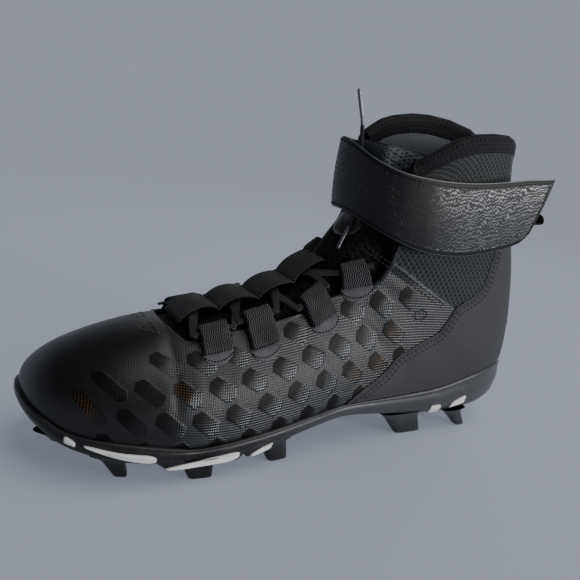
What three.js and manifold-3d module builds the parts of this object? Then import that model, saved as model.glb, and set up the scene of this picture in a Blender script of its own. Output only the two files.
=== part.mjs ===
// High-top american football cleat for the left foot, standing on its studs.
// Millimetres, +Z up, toe along +X, the wearer's left (lateral) side along +Y.
import * as THREE from 'three';
import Module from 'manifold-3d';

const wasm = await Module();
wasm.setup();

// Driving sizes of the last and the sole
const lastLength = 303;        // heel back to toe tip of the upper
const ballWidth = 99;          // widest place of the upper
const heelWidth = 68;          // upper across the heel and the ankle
const instepHeight = 83;       // underside of the sole to the instep under the top loop
const shaftHeight = 172;       // underside of the sole to the collar
const studHeight = 12.5;       // floor to the underside of the sole at the ball
const plateThickness = 3.5;
const toeSpring = 16;          // lift of the sole at the toe tip
const archRise = 8;            // lift of the sole at the arch
const rimHeight = 19;          // sidewall at the waist, above the underside at the ball
const rimThickness = 2;
const podDrop = 4;             // pads under the plate that carry the studs

// Driving sizes of the soft pieces
const wall = 2.2;              // textile and lining of the upper
const collarPadding = 4.2;     // what the padded collar adds to the wall
const lastingMargin = 9;       // upper turned in under the insole
const insoleThickness = 4;
const tongueThickness = 3.6;
const counterThickness = 1.3;
const clearance = 0.3;

const halfBall = ballWidth / 2;
const halfHeel = heelWidth / 2;
const shaftRise = shaftHeight - instepHeight;
const upperRows = 28;
const upperColumns = 26;

// Sections of the last, from the toe tip over the instep and round the heel to the collar.
// Each is a closed loop between a point of the underside or heel back and one of the top line.
// bottomX and topX are shares of lastLength, bottomUp of shaftHeight above the sole,
// topInstep of instepHeight, topRise of the shaft above the instep, centre and ofBall of half
// the ball width, ofHeel of half the heel width. waist is where the loop is widest, from
// bottom to top, and lower and upper say how square the loop is on each side of it.
const sectionColumns = ['bottomX', 'bottomUp', 'topX', 'topInstep', 'topRise',
  'centre', 'ofBall', 'ofHeel', 'waist', 'lower', 'upper'];
const sectionRows = [
  [1.000, 0.028, 1.000, 0.280, 0, -0.06, 0.00, 0.00, 0.50, 2.1, 2.1],
  [0.997, 0.008, 0.997, 0.325, 0, -0.06, 0.21, 0.00, 0.40, 2.4, 2.1],
  [0.990, 0.002, 0.990, 0.370, 0, -0.05, 0.39, 0.00, 0.32, 2.9, 2.1],
  [0.977, 0.000, 0.977, 0.427, 0, -0.03, 0.54, 0.00, 0.26, 3.4, 2.1],
  [0.954, 0.000, 0.954, 0.495, 0, -0.01, 0.69, 0.00, 0.21, 3.9, 2.1],
  [0.917, 0.000, 0.917, 0.564, 0, 0.01, 0.83, 0.00, 0.18, 4.3, 2.1],
  [0.868, 0.000, 0.868, 0.631, 0, 0.03, 0.93, 0.00, 0.16, 4.5, 2.1],
  [0.812, 0.000, 0.812, 0.690, 0, 0.04, 0.98, 0.00, 0.16, 4.5, 2.05],
  [0.746, 0.000, 0.746, 0.737, 0, 0.05, 1.00, 0.00, 0.16, 4.5, 2.0],
  [0.677, 0.000, 0.680, 0.789, 0, 0.06, 0.92, 0.06, 0.16, 4.3, 2.0],
  [0.600, 0.000, 0.620, 0.849, 0, 0.08, 0.70, 0.27, 0.17, 4.0, 1.95],
  [0.521, 0.000, 0.568, 0.920, 0, 0.09, 0.44, 0.53, 0.18, 3.8, 1.9],
  [0.436, 0.000, 0.528, 1.000, 0, 0.07, 0.20, 0.78, 0.20, 3.6, 1.95],
  [0.347, 0.000, 0.498, 1.000, 0.060, 0.045, 0.07, 0.92, 0.24, 3.4, 2.05],
  [0.257, 0.000, 0.480, 1.000, 0.118, 0.025, 0.00, 0.99, 0.29, 3.1, 2.2],
  [0.162, 0.000, 0.466, 1.000, 0.174, 0.012, 0.00, 1.00, 0.34, 2.8, 2.35],
  [0.082, 0.004, 0.453, 1.000, 0.230, 0, 0.00, 1.00, 0.38, 2.5, 2.5],
  [0.024, 0.025, 0.442, 1.000, 0.292, 0, 0.00, 1.00, 0.41, 2.35, 2.6],
  [-0.004, 0.078, 0.430, 1.000, 0.358, 0, 0.00, 0.99, 0.43, 2.25, 2.7],
  [-0.013, 0.160, 0.421, 1.000, 0.423, 0, 0.00, 0.98, 0.45, 2.2, 2.8],
  [-0.012, 0.260, 0.416, 1.000, 0.489, 0, 0.00, 0.97, 0.45, 2.15, 2.8],
  [-0.004, 0.365, 0.413, 1.000, 0.556, 0, 0.00, 0.97, 0.45, 2.1, 2.8],
  [0.010, 0.473, 0.412, 1.000, 0.629, 0, 0.00, 0.98, 0.45, 2.1, 2.8],
  [0.027, 0.580, 0.412, 1.000, 0.702, 0, 0.00, 0.99, 0.45, 2.05, 2.8],
  [0.044, 0.685, 0.410, 1.000, 0.777, 0, 0.00, 1.00, 0.45, 2.05, 2.8],
  [0.060, 0.787, 0.408, 1.000, 0.854, 0, 0.00, 1.01, 0.45, 2.05, 2.8],
  [0.070, 0.886, 0.406, 1.000, 0.938, 0, 0.00, 1.01, 0.45, 2.05, 2.8],
  [0.075, 0.981, 0.405, 1.000, 1.028, 0, 0.00, 1.00, 0.45, 2.05, 2.8],
  [0.077, 1.060, 0.404, 1.000, 1.150, 0, 0.00, 0.98, 0.45, 2.05, 2.8],
];

// Side line of the sole: x is a share of lastLength from the heel, spring of toeSpring,
// arch of archRise, and rim of rimHeight.
const soleColumns = ['x', 'spring', 'arch', 'rim'];
const soleRows = [
  [-0.03, 0, 0.55, 1.53],
  [0.040, 0, 0.28, 1.48],
  [0.100, 0, 0.16, 1.36],
  [0.190, 0, 0.14, 1.05],
  [0.264, 0, 0.32, 0.91],
  [0.347, 0, 0.72, 0.87],
  [0.436, 0, 1.00, 0.85],
  [0.521, 0, 0.69, 0.72],
  [0.600, 0, 0.25, 0.58],
  [0.677, 0, 0.03, 0.44],
  [0.746, 0, 0, 0.37],
  [0.812, 0.02, 0, 0.50],
  [0.868, 0.10, 0, 0.62],
  [0.917, 0.25, 0, 0.70],
  [0.954, 0.43, 0, 0.79],
  [0.985, 0.72, 0, 1.02],
  [1.010, 1.00, 0, 1.16],
];

// Small maths
const mix = (a, b, t) => a + (b - a) * t;
const clamp = (t, low, high) => Math.min(high, Math.max(low, t));
const smooth = (from, to, value) => {
  const t = clamp((value - from) / (to - from), 0, 1);
  return t * t * (3 - 2 * t);
};

function hermite(a, b, c, d, t) {
  const square = t * t;
  return b + 0.5 * (t * (c - a) + square * (2 * a - 5 * b + 4 * c - d)
    + square * t * (3 * b - a - 3 * c + d));
}

// Row `at` (0 to rows - 1) of a table, run smoothly through its rows
function tableRow(columns, rows, at) {
  const place = clamp(at, 0, rows.length - 1);
  const index = Math.min(Math.floor(place), rows.length - 2);
  const row = {};
  columns.forEach((name, column) => {
    const here = rows[index][column];
    const next = rows[index + 1][column];
    const before = index > 0 ? rows[index - 1][column] : 2 * here - next;
    const after = index + 2 < rows.length ? rows[index + 2][column] : 2 * next - here;
    row[name] = hermite(before, here, next, after, place - index);
  });
  return row;
}

function tableRows(columns, rows) {
  return rows.map((row) => Object.fromEntries(columns.map((name, k) => [name, row[k]])));
}

// Side line of the sole at a length along the foot
function soleAt(x) {
  const share = clamp(x / lastLength, soleRows[0][0], soleRows[soleRows.length - 1][0]);
  let low = 0;
  while (low < soleRows.length - 2 && soleRows[low + 1][0] < share) {
    low += 1;
  }
  const span = soleRows[low + 1][0] - soleRows[low][0];
  const line = tableRow(soleColumns, soleRows, low + (share - soleRows[low][0]) / span);
  const lift = toeSpring * line.spring + archRise * line.arch;
  return { underside: studHeight + lift, rim: studHeight + rimHeight * line.rim };
}

// A point of the last's own surface. u runs from the toe tip (0) to above the collar (1),
// v from the underside (0) over the lateral side (0.25), the top line (0.5) and the medial side.
function lastPoint(u, v) {
  const row = tableRow(sectionColumns, sectionRows, u * (sectionRows.length - 1));
  const bottomX = row.bottomX * lastLength;
  const bottomZ = soleAt(bottomX).underside + plateThickness + row.bottomUp * shaftHeight;
  const topX = row.topX * lastLength;
  const topZ = studHeight + row.topInstep * instepHeight + row.topRise * shaftRise;
  const angle = (v - 0.25) * 2 * Math.PI;
  const across = Math.cos(angle);
  const along = Math.sin(angle);
  const power = along > 0 ? row.upper : row.lower;
  const reach = (Math.abs(across) ** power + Math.abs(along) ** power) ** (-1 / power);
  const half = row.ofBall * halfBall + row.ofHeel * halfHeel;
  const side = along > 0 ? (1 - row.waist) * along : row.waist * along;
  const share = row.waist + side * reach;
  return new THREE.Vector3(
    mix(bottomX, topX, share),
    row.centre * halfBall + half * across * reach,
    mix(bottomZ, topZ, share),
  );
}

const step = 1e-3;

function lastNormal(u, v) {
  const inside = clamp(u, step, 1 - step);
  const alongU = lastPoint(inside + step, v).sub(lastPoint(inside - step, v));
  const alongV = lastPoint(inside, v + step).sub(lastPoint(inside, v - step));
  return alongU.cross(alongV).normalize();
}

function onLast(u, v, offset) {
  if (u <= 0) {
    return lastPoint(0, 0).add(new THREE.Vector3(offset, 0, 0));
  }
  return lastPoint(u, v).addScaledVector(lastNormal(u, v), offset);
}

// Thickness of the wall: thin over the foot, padded round the ankle
function wallAt(u, v) {
  const point = lastPoint(u, v);
  const paddingFrom = studHeight + 0.46 * shaftHeight;
  const paddingTo = studHeight + 0.72 * shaftHeight;
  return wall + collarPadding * smooth(paddingFrom, paddingTo, point.z);
}

// Closed solids from points and faces
function solid(points, faces) {
  const vertProperties = new Float32Array(points.length * 3);
  points.forEach((point, index) => point.toArray(vertProperties, index * 3));
  return new wasm.Manifold(new wasm.Mesh({
    numProp: 3, vertProperties, triVerts: Uint32Array.from(faces.flat()),
  }));
}

// Rings of the same count of points, closed by a fan at each end
function loftRings(rings) {
  const points = [];
  const faces = [];
  const count = rings[0].length;
  rings.forEach((ring) => points.push(...ring));
  for (let i = 0; i + 1 < rings.length; i += 1) {
    for (let j = 0; j < count; j += 1) {
      const a = i * count + j;
      const b = i * count + (j + 1) % count;
      faces.push([a, b, b + count], [a, b + count, a + count]);
    }
  }
  const centre = (ring) => ring.reduce((sum, p) => sum.add(p), new THREE.Vector3())
    .divideScalar(count);
  const first = points.push(centre(rings[0])) - 1;
  const last = points.push(centre(rings[rings.length - 1])) - 1;
  const end = (rings.length - 1) * count;
  for (let j = 0; j < count; j += 1) {
    const k = (j + 1) % count;
    faces.push([first, k, j], [last, end + j, end + k]);
  }
  return outward(solid(points, faces), points, faces);
}

// A body whose faces point inward is turned inside out
function outward(body, points, faces) {
  return body.volume() > 0 ? body : solid(points, faces.map(([a, b, c]) => [a, c, b]));
}

// The whole last, grown or shrunk by an offset that may change over it
function lastBody(offsetAt) {
  const rings = [];
  for (let i = 1; i <= upperRows; i += 1) {
    const u = i / upperRows;
    const ring = [];
    for (let j = 0; j < upperColumns; j += 1) {
      const v = j / upperColumns;
      ring.push(onLast(u, v, offsetAt(u, v)));
    }
    rings.push(ring);
  }
  const points = [onLast(0, 0, offsetAt(0, 0))];
  const faces = [];
  rings.forEach((ring) => points.push(...ring));
  const at = (i, j) => 1 + i * upperColumns + (j % upperColumns);
  for (let j = 0; j < upperColumns; j += 1) {
    faces.push([0, at(0, j + 1), at(0, j)]);
    for (let i = 0; i + 1 < upperRows; i += 1) {
      faces.push([at(i, j), at(i, j + 1), at(i + 1, j + 1)], [at(i, j), at(i + 1, j + 1), at(i + 1, j)]);
    }
  }
  const top = points.push(lastPoint(1, 0.25).add(lastPoint(1, 0.75)).multiplyScalar(0.5)) - 1;
  for (let j = 0; j < upperColumns; j += 1) {
    faces.push([top, at(upperRows - 1, j), at(upperRows - 1, j + 1)]);
  }
  return outward(solid(points, faces), points, faces);
}

// A sheet with thickness: pointAt(i, j, top) gives the corners of its two faces
function gridBody(rows, columns, pointAt) {
  const points = [];
  const faces = [];
  [false, true].forEach((top) => {
    for (let i = 0; i <= rows; i += 1) {
      for (let j = 0; j <= columns; j += 1) {
        points.push(pointAt(i / rows, j / columns, top));
      }
    }
  });
  const size = (rows + 1) * (columns + 1);
  const at = (i, j, top) => i * (columns + 1) + j + (top ? size : 0);
  const quad = (a, b, c, d) => faces.push([a, b, c], [a, c, d]);
  for (let i = 0; i < rows; i += 1) {
    for (let j = 0; j < columns; j += 1) {
      quad(at(i, j, true), at(i, j + 1, true), at(i + 1, j + 1, true), at(i + 1, j, true));
      quad(at(i, j), at(i + 1, j), at(i + 1, j + 1), at(i, j + 1));
    }
    quad(at(i, 0), at(i, 0, true), at(i + 1, 0, true), at(i + 1, 0));
    quad(at(i, columns), at(i + 1, columns), at(i + 1, columns, true), at(i, columns, true));
  }
  for (let j = 0; j < columns; j += 1) {
    quad(at(0, j), at(0, j + 1), at(0, j + 1, true), at(0, j, true));
    quad(at(rows, j), at(rows, j, true), at(rows, j + 1, true), at(rows, j + 1));
  }
  return outward(solid(points, faces), points, faces);
}

// A patch of the last between two offsets: u from uFrom to uTo, v from vFrom(u) to vTo(u)
function patchBody({ uFrom, uTo, vFrom, vTo, low, high, rows, columns }) {
  return gridBody(rows, columns, (i, j, top) => {
    const u = mix(uFrom, uTo, i);
    const v = mix(vFrom(u), vTo(u), j);
    return onLast(u, v, (top ? high : low)(u, v));
  });
}

// A flat band along a line of stations, each with its point, half width and half thickness
function bandBody(stations) {
  return loftRings(stations.map(({ point, side, up }) => [
    point.clone().sub(side).sub(up),
    point.clone().add(side).sub(up),
    point.clone().add(side).add(up),
    point.clone().sub(side).add(up),
  ]));
}

// A prism across the shoe from an outline in the side view
function sidePrism(outline, halfDepth) {
  const shape = new THREE.Shape(outline.map(([x, z]) => new THREE.Vector2(x, z)));
  const geometry = new THREE.ExtrudeGeometry(shape, { depth: 2 * halfDepth, bevelEnabled: false });
  geometry.rotateX(Math.PI / 2);
  geometry.translate(0, halfDepth, 0);
  return fromGeometry(geometry);
}

function fromGeometry(geometry) {
  const position = (geometry.index ? geometry.toNonIndexed() : geometry).getAttribute('position');
  const points = [];
  const faces = [];
  const known = new Map();
  for (let i = 0; i < position.count; i += 3) {
    const face = [];
    for (let j = i; j < i + 3; j += 1) {
      const point = new THREE.Vector3().fromBufferAttribute(position, j);
      const key = point.toArray().map((value) => value.toFixed(4)).join();
      if (!known.has(key)) {
        known.set(key, points.push(point) - 1);
      }
      face.push(known.get(key));
    }
    if (new Set(face).size === 3) {
      faces.push(face);
    }
  }
  return outward(solid(points, faces), points, faces);
}

// Where the upper meets the rim of the sole: a closed line round the shoe, heel to heel
function rimLine(count) {
  const bottomGap = (u) => {
    const point = lastPoint(u, 0);
    return point.z - soleAt(point.x).rim;
  };
  const cross = (low, high, gap) => {
    let [a, b] = [low, high];
    for (let i = 0; i < 40; i += 1) {
      const middle = (a + b) / 2;
      if (Math.sign(gap(middle)) === Math.sign(gap(a))) {
        a = middle;
      } else {
        b = middle;
      }
    }
    return (a + b) / 2;
  };
  const toe = cross(0, 0.2, bottomGap);
  const heel = cross(0.5, 0.9, bottomGap);
  const onSide = (u, from, to) => {
    const gap = (v) => {
      const place = lastPoint(u, v);
      return place.z - soleAt(place.x).rim;
    };
    return lastPoint(u, cross(from, to, gap));
  };
  const fine = 240;
  const evenly = (from, to) => {
    const line = [lastPoint(toe, 0)];
    for (let i = 1; i < fine; i += 1) {
      line.push(onSide(mix(toe, heel, i / fine), from, to));
    }
    line.push(lastPoint(heel, 0));
    const lengths = [0];
    for (let i = 1; i <= fine; i += 1) {
      lengths.push(lengths[i - 1] + line[i].distanceTo(line[i - 1]));
    }
    return Array.from({ length: count + 1 }, (_, k) => {
      const wanted = lengths[fine] * k / count;
      const index = clamp(lengths.findIndex((value) => value >= wanted), 1, fine);
      const share = (wanted - lengths[index - 1]) / (lengths[index] - lengths[index - 1]);
      return line[index - 1].clone().lerp(line[index], share);
    });
  };
  return [...evenly(0, 0.4), ...evenly(1, 0.6).slice(1, -1).reverse()];
}

const rimCount = 26;
const rim = rimLine(rimCount);

// The rim line moved out in plan, with a height for each point
function rimRing(outAt, heightAt) {
  const total = rim.length;
  return rim.map((point, index) => {
    const before = rim[(index + total - 1) % total];
    const after = rim[(index + 1) % total];
    const out = new THREE.Vector3(after.y - before.y, before.x - after.x, 0).normalize();
    const moved = new THREE.Vector3(point.x, point.y, 0).addScaledVector(out, outAt(point.x));
    moved.z = heightAt(point.x);
    return moved;
  });
}

// Rings joined into a body whose ends are closed straight across the shoe
function soleBody(rings) {
  const points = [];
  const faces = [];
  const total = rim.length;
  rings.forEach((ring) => points.push(...ring));
  for (let i = 0; i + 1 < rings.length; i += 1) {
    for (let j = 0; j < total; j += 1) {
      const a = i * total + j;
      const b = i * total + (j + 1) % total;
      faces.push([a, b, b + total], [a, b + total, a + total]);
    }
  }
  const cap = (base, turned) => {
    const add = (a, b, c) => faces.push(turned ? [a, c, b] : [a, b, c]);
    for (let j = 0; j < rimCount; j += 1) {
      const left = base + j;
      const right = base + (total - j) % total;
      const nextLeft = base + j + 1;
      const nextRight = base + total - j - 1;
      if (left !== right) {
        add(left, right, nextRight);
      }
      if (nextLeft !== nextRight) {
        add(left, nextRight, nextLeft);
      }
    }
  };
  cap(0, false);
  cap((rings.length - 1) * total, true);
  return outward(solid(points, faces), points, faces);
}

const undersideAt = (x) => soleAt(x).underside;
const rimAt = (x) => soleAt(x).rim;
const bearingAt = (x) => undersideAt(x) + plateThickness;

const group = new THREE.Group();
const finishes = {
  rubber: { color: 0x0d0d0f, roughness: 0.55 },
  textile: { color: 0x1b1c1f, roughness: 0.6 },
  synthetic: { color: 0x17171a, roughness: 0.65 },
  webbing: { color: 0x222326, roughness: 0.8 },
  strap: { color: 0x26272b, roughness: 0.35 },
  insert: { color: 0xd8d2c8, roughness: 0.6 },
  foam: { color: 0x141416, roughness: 0.9 },
  aglet: { color: 0x8c8f94, roughness: 0.3 },
};

function addPiece(name, body, finish) {
  const mesh = body.getMesh();
  const geometry = new THREE.BufferGeometry();
  const positions = new Float32Array(mesh.numVert * 3);
  for (let i = 0; i < mesh.numVert; i += 1) {
    for (let axis = 0; axis < 3; axis += 1) {
      positions[3 * i + axis] = mesh.vertProperties[mesh.numProp * i + axis];
    }
  }
  geometry.setAttribute('position', new THREE.BufferAttribute(positions, 3));
  geometry.setIndex(new THREE.BufferAttribute(Uint32Array.from(mesh.triVerts), 1));
  geometry.computeVertexNormals();
  const piece = new THREE.Mesh(geometry, new THREE.MeshStandardMaterial({
    ...finishes[finish], metalness: 0, side: THREE.FrontSide,
  }));
  piece.name = name;
  group.add(piece);
}

// Throat: half its width, as a share of the loop, along the top line
const throatFront = 7.5 / 28;
function throatHalf(u) {
  const blunt = Math.sqrt(clamp((u - throatFront) / 0.014, 0, 1));
  return 0.084 * blunt + 0.016 * smooth(0.32, 0.42, u) + 0.035 * smooth(0.42, 0.58, u);
}

// The collar's edge in the side view: x of lastLength, and its height on each side of the shoe
// as a share of shaftHeight above the sole
const collarColumns = ['x', 'medial', 'lateral'];
const collarRows = [
  [0.600, 0.720, 0.660],
  [0.450, 0.800, 0.745],
  [0.392, 0.892, 0.820],
  [0.343, 0.962, 0.890],
  [0.307, 0.994, 0.937],
  [0.274, 1.011, 0.970],
  [0.231, 1.023, 0.993],
  [0.188, 1.026, 1.000],
  [0.139, 1.018, 0.998],
  [0.100, 0.996, 0.986],
  [0.078, 0.960, 0.950],
  [-0.100, 0.880, 0.870],
];

function makeUpper() {
  const outer = lastBody(() => 0);
  const inner = lastBody((u, v) => -wallAt(u, v));
  const edge = tableRows(collarColumns, collarRows);
  const collarCut = gridBody(edge.length - 1, 1, (i, j, top) => {
    const { x, medial, lateral } = edge[Math.round(i * (edge.length - 1))];
    const share = (mix(-halfBall, halfBall, j) + halfHeel) / heelWidth;
    const height = top ? 2 : mix(medial, lateral, share);
    return new THREE.Vector3(x * lastLength, mix(-halfBall, halfBall, j),
      studHeight + height * shaftHeight);
  });
  const throatCut = patchBody({
    uFrom: throatFront, uTo: 0.995, rows: 24, columns: 4,
    vFrom: (u) => 0.5 - throatHalf(u) - 0.001,
    vTo: (u) => 0.5 + throatHalf(u) + 0.001,
    low: () => -2.5 * wall - collarPadding, high: () => 4 * wall,
  });
  const opening = soleBody([
    rimRing(() => -lastingMargin, (x) => bearingAt(x) + 2.4 * wall),
    rimRing(() => -lastingMargin, (x) => undersideAt(x) - plateThickness),
  ]);
  return outer.subtract(inner).subtract(collarCut).subtract(throatCut).subtract(opening);
}

// Sole: rings from the rim down to the underside
function soleRings(out) {
  const heelRound = (x) => 1.6 + 3.4 * (1 - smooth(0.05, 0.35, x / lastLength));
  const level = (share) => (x) => mix(undersideAt(x), rimAt(x), share);
  return [
    rimRing((x) => rimThickness - heelRound(x) + out, level(0)),
    rimRing((x) => rimThickness - 0.3 * heelRound(x) + out, level(0.2)),
    rimRing(() => rimThickness + 0.5 + out, level(0.55)),
    rimRing(() => rimThickness + out, level(1)),
  ];
}

const sideRings = soleRings(0);
const sides = [['lateral', 1], ['medial', -1]];

// Station of the sole's edge, 0 at the toe and rimCount at the heel, at a length along the foot
function stationAt(sign, x) {
  const at = (k) => sideRings[0][sign > 0 ? k : (rim.length - k) % rim.length];
  let k = 0;
  while (k < rimCount - 1 && at(k + 1).x > x) {
    k += 1;
  }
  return k + clamp((at(k).x - x) / (at(k).x - at(k + 1).x), 0, 1);
}

// A point of the sole's side: height is above the underside, out is away from the surface
function sidePoint(sign, station, height, out) {
  const at = (ring, k) => ring[sign > 0 ? k : (rim.length - k) % rim.length];
  const low = Math.min(Math.floor(station), rimCount - 1);
  const on = (ring) => at(ring, low).clone().lerp(at(ring, low + 1), station - low);
  const line = sideRings.map(on);
  const z = line[0].z + height;
  let k = 0;
  while (k < line.length - 2 && line[k + 1].z < z) {
    k += 1;
  }
  const share = clamp((z - line[k].z) / (line[k + 1].z - line[k].z), 0, 1);
  const point = line[k].clone().lerp(line[k + 1], share);
  const along = at(sideRings[3], low + 1).clone().sub(at(sideRings[3], low));
  const away = new THREE.Vector3(along.y, -along.x, 0).normalize().multiplyScalar(sign);
  point.addScaledVector(away, out);
  point.z = z;
  return point;
}

// Studs, the same on both sides. x is a share of lastLength, y of ballWidth, sizes in mm;
// the tip is swept back from the base, and up lifts it off the floor with the toe.
const studColumns = ['baseX', 'baseY', 'baseLength', 'tipX', 'tipY', 'tipLength', 'up', 'turn'];
const studRows = [
  [0.962, 0.190, 11, 0.950, 0.170, 5, 1.10, -48],
  [0.881, 0.385, 16, 0.858, 0.360, 6.5, 0.04, -22],
  [0.744, 0.465, 21, 0.732, 0.463, 12.5, 0, -3],
  [0.592, 0.398, 18, 0.573, 0.385, 12, 0, 8],
  [0.284, 0.275, 30, 0.251, 0.262, 19, 0, 2],
  [0.147, 0.262, 17, 0.109, 0.250, 7, 0, 8],
];
const studBaseWidth = 10;
const studTipWidth = 5.5;
const studCorners = 8;
const medialShare = 0.91;      // the medial studs sit this much nearer the middle

function studBody(row, sign) {
  const ring = (x, y, z, length, width) => {
    const turn = THREE.MathUtils.degToRad(row.turn);
    return Array.from({ length: studCorners }, (_, k) => {
      const angle = 2 * Math.PI * (k + 0.5) / studCorners;
      const square = (Math.abs(Math.cos(angle)) ** 4 + Math.abs(Math.sin(angle)) ** 4) ** -0.25;
      const along = length / 2 * Math.cos(angle) * square;
      const across = width / 2 * Math.sin(angle) * square;
      return new THREE.Vector3(
        x + along * Math.cos(turn) - across * Math.sin(turn),
        sign * (y + along * Math.sin(turn) + across * Math.cos(turn)),
        z,
      );
    });
  };
  const [baseX, tipX] = [row.baseX * lastLength, row.tipX * lastLength];
  const medial = sign < 0 ? medialShare : 1;
  const [baseY, tipY] = [row.baseY, row.tipY].map((y) => y * ballWidth * medial);
  const baseZ = undersideAt(baseX) + 0.5;
  const tipZ = row.up * studHeight;
  const waist = 0.35;
  return loftRings([
    ring(baseX, baseY, baseZ, row.baseLength, studBaseWidth),
    ring(mix(baseX, tipX, waist), mix(baseY, tipY, waist), mix(baseZ, tipZ, waist),
      mix(row.baseLength, row.tipLength, waist + 0.2), mix(studBaseWidth, studTipWidth, waist + 0.2)),
    ring(tipX, tipY, tipZ, row.tipLength, studTipWidth),
  ]);
}

// Pads under the plate's edge and the light inserts on its side. from and to are shares of
// lastLength and drop of podDrop. The insert's middle is toeUp and heelUp above the underside
// at its two ends, and thin and thick are its heights there, in mm.
const padColumns = ['from', 'to', 'drop', 'toeUp', 'heelUp', 'thin', 'thick'];
const padRows = [
  [0.951, 0.935, 0, 5.2, 4.6, 4.2, 3.4],
  [0.926, 0.817, 0, 5.6, 3.0, 2.0, 6.4],
  [0.803, 0.668, 1.0, -3.0, -0.2, 2.2, 6.8],
  [0.648, 0.604, 0.9, -3.0, 0.4, 2.2, 5.0],
  [0.222, 0.192, 0, 2.8, 3.0, 6.8, 6.6],
  [0.166, 0.126, 0, 3.6, 7.4, 5.2, 7.4],
];
const padReach = 15;
const insertRise = 0.9;        // how far the inserts stand out of the side
const insertDepth = 0.8;       // and how deep they are let in

function padBody(row, sign) {
  const ends = [row.from + 0.012, row.to - 0.014].map((x) => stationAt(sign, x * lastLength));
  return gridBody(6, 2, (i, j, top) => {
    const station = mix(ends[0], ends[1], i);
    const full = Math.min(1, Math.sin(Math.PI * i) * 3) * (j < 1 ? 1 : 0);
    const drop = row.drop * podDrop * full;
    return sidePoint(sign, station, top ? 1.2 : -drop, -0.2 - padReach * j ** 1.5);
  });
}

function insertBody(row, sign, grow) {
  const spare = grow / lastLength;
  const ends = [row.from + spare, row.to - spare].map((x) => stationAt(sign, x * lastLength));
  return gridBody(6, 1, (i, j, top) => {
    const station = mix(ends[0], ends[1], i);
    const round = Math.sqrt(clamp(1 - Math.abs(2 * i - 1) ** 6, 0.15, 1));
    const height = mix(row.thin, row.thick, i) * round;
    const level = mix(row.toeUp, row.heelUp, i) + (j - 0.5) * (height + 2 * grow);
    return sidePoint(sign, station, level, top ? insertRise + grow : -insertDepth - grow);
  });
}

const studs = tableRows(studColumns, studRows);
const pads = tableRows(padColumns, padRows);

function makeOutsole() {
  let body = soleBody(sideRings);
  sides.forEach(([, sign]) => {
    pads.filter((pad) => pad.drop > 0).forEach((pad) => {
      body = body.add(padBody(pad, sign));
    });
    studs.forEach((stud) => {
      body = body.add(studBody(stud, sign));
    });
    pads.forEach((pad) => {
      body = body.subtract(insertBody(pad, sign, clearance));
    });
  });
  return body.subtract(lastBody(() => clearance));
}

function makeInsole() {
  const inside = lastBody((u, v) => -wallAt(u, v) - clearance - 0.15);
  const slab = soleBody([
    rimRing(() => 0, (x) => bearingAt(x) + wall + clearance),
    rimRing(() => 0, (x) => bearingAt(x) + wall + clearance + insoleThickness),
  ]);
  return slab.intersect(inside);
}

// Tongue: its face rises between the throat's edges
const tongueEnd = 25.3 / 28;
function tongueTop(u, v) {
  const half = throatHalf(u);
  const middle = 1 - smooth(0.5, 0.86, half > 0 ? Math.abs(v - 0.5) / half : 1);
  const flush = -0.9 - 1.6 * smooth(0.55, 0.66, u);
  const rise = middle * smooth(throatFront + 0.012, throatFront + 0.05, u);
  return mix(-wallAt(u, v) - 2 * clearance - 0.15, flush, rise);
}

function makeTongue() {
  return patchBody({
    uFrom: throatFront - 0.03, uTo: tongueEnd, rows: 18, columns: 8,
    vFrom: (u) => 0.46 - throatHalf(u),
    vTo: (u) => 0.54 + throatHalf(u),
    low: (u, v) => tongueTop(u, v) - tongueThickness,
    high: tongueTop,
  });
}

// Heel counter: a moulded layer over the upper, its outline in the side view as shares of
// lastLength and of shaftHeight
const counterEdge = [
  [0.640, -0.06], [0.575, -0.01], [0.488, 0.025], [0.429, 0.117], [0.361, 0.190],
  [0.330, 0.243], [0.276, 0.292], [0.238, 0.327], [0.207, 0.410], [0.150, 0.472],
  [0.136, 0.560], [0.124, 0.650], [0.108, 0.800], [-0.10, 0.800], [-0.10, -0.06],
];

function makeCounter() {
  const outer = lastBody(() => clearance + counterThickness);
  const under = lastBody(() => clearance);
  const outline = counterEdge.map(([x, z]) => [x * lastLength, studHeight + z * shaftHeight]);
  const band = sidePrism(outline, ballWidth);
  const sole = soleBody([
    rimRing(() => 3 * rimThickness, () => 0),
    rimRing(() => 3 * rimThickness, (x) => rimAt(x) + clearance),
  ]);
  return outer.intersect(band).subtract(under).subtract(sole);
}

// Lacing. Each loop is a folded webbing on the edge of the throat; row is its place along the
// sections, fold and base are its ends down the side as shares of the loop round the foot, and
// turn swings its heel end down, in degrees.
const loopColumns = ['row', 'fold', 'base', 'turn'];
const loopRows = [
  [8.57, 0.082, 0.118, 0],
  [9.90, 0.076, 0.130, 0],
  [12.05, 0.087, 0.134, -5],
  [15.20, 0.098, 0.124, 34],
];
const loops = tableRows(loopColumns, loopRows);
const loopWidth = 15.5;
const webbingThickness = 1.3;
const laceWidth = 5;
const laceThickness = 1.4;
const laceRoom = 0.7;
const laceSlack = 0.2;         // how rounded its turns are
const lacePinch = 0.66;        // the lace gathers where it runs through a loop
const loopSeat = 2 * clearance + 0.1;
const laceHeight = loopSeat + webbingThickness + laceRoom + laceThickness / 2;
const sectionCount = sectionRows.length - 1;

// How far u has to move for one millimetre along the foot
function rowsPerMillimetre(u, v) {
  return 2 * step / lastPoint(u + step, v).distanceTo(lastPoint(u - step, v));
}

function vPerMillimetre(u, v) {
  return 2 * step / lastPoint(u, v + step).distanceTo(lastPoint(u, v - step));
}

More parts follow.
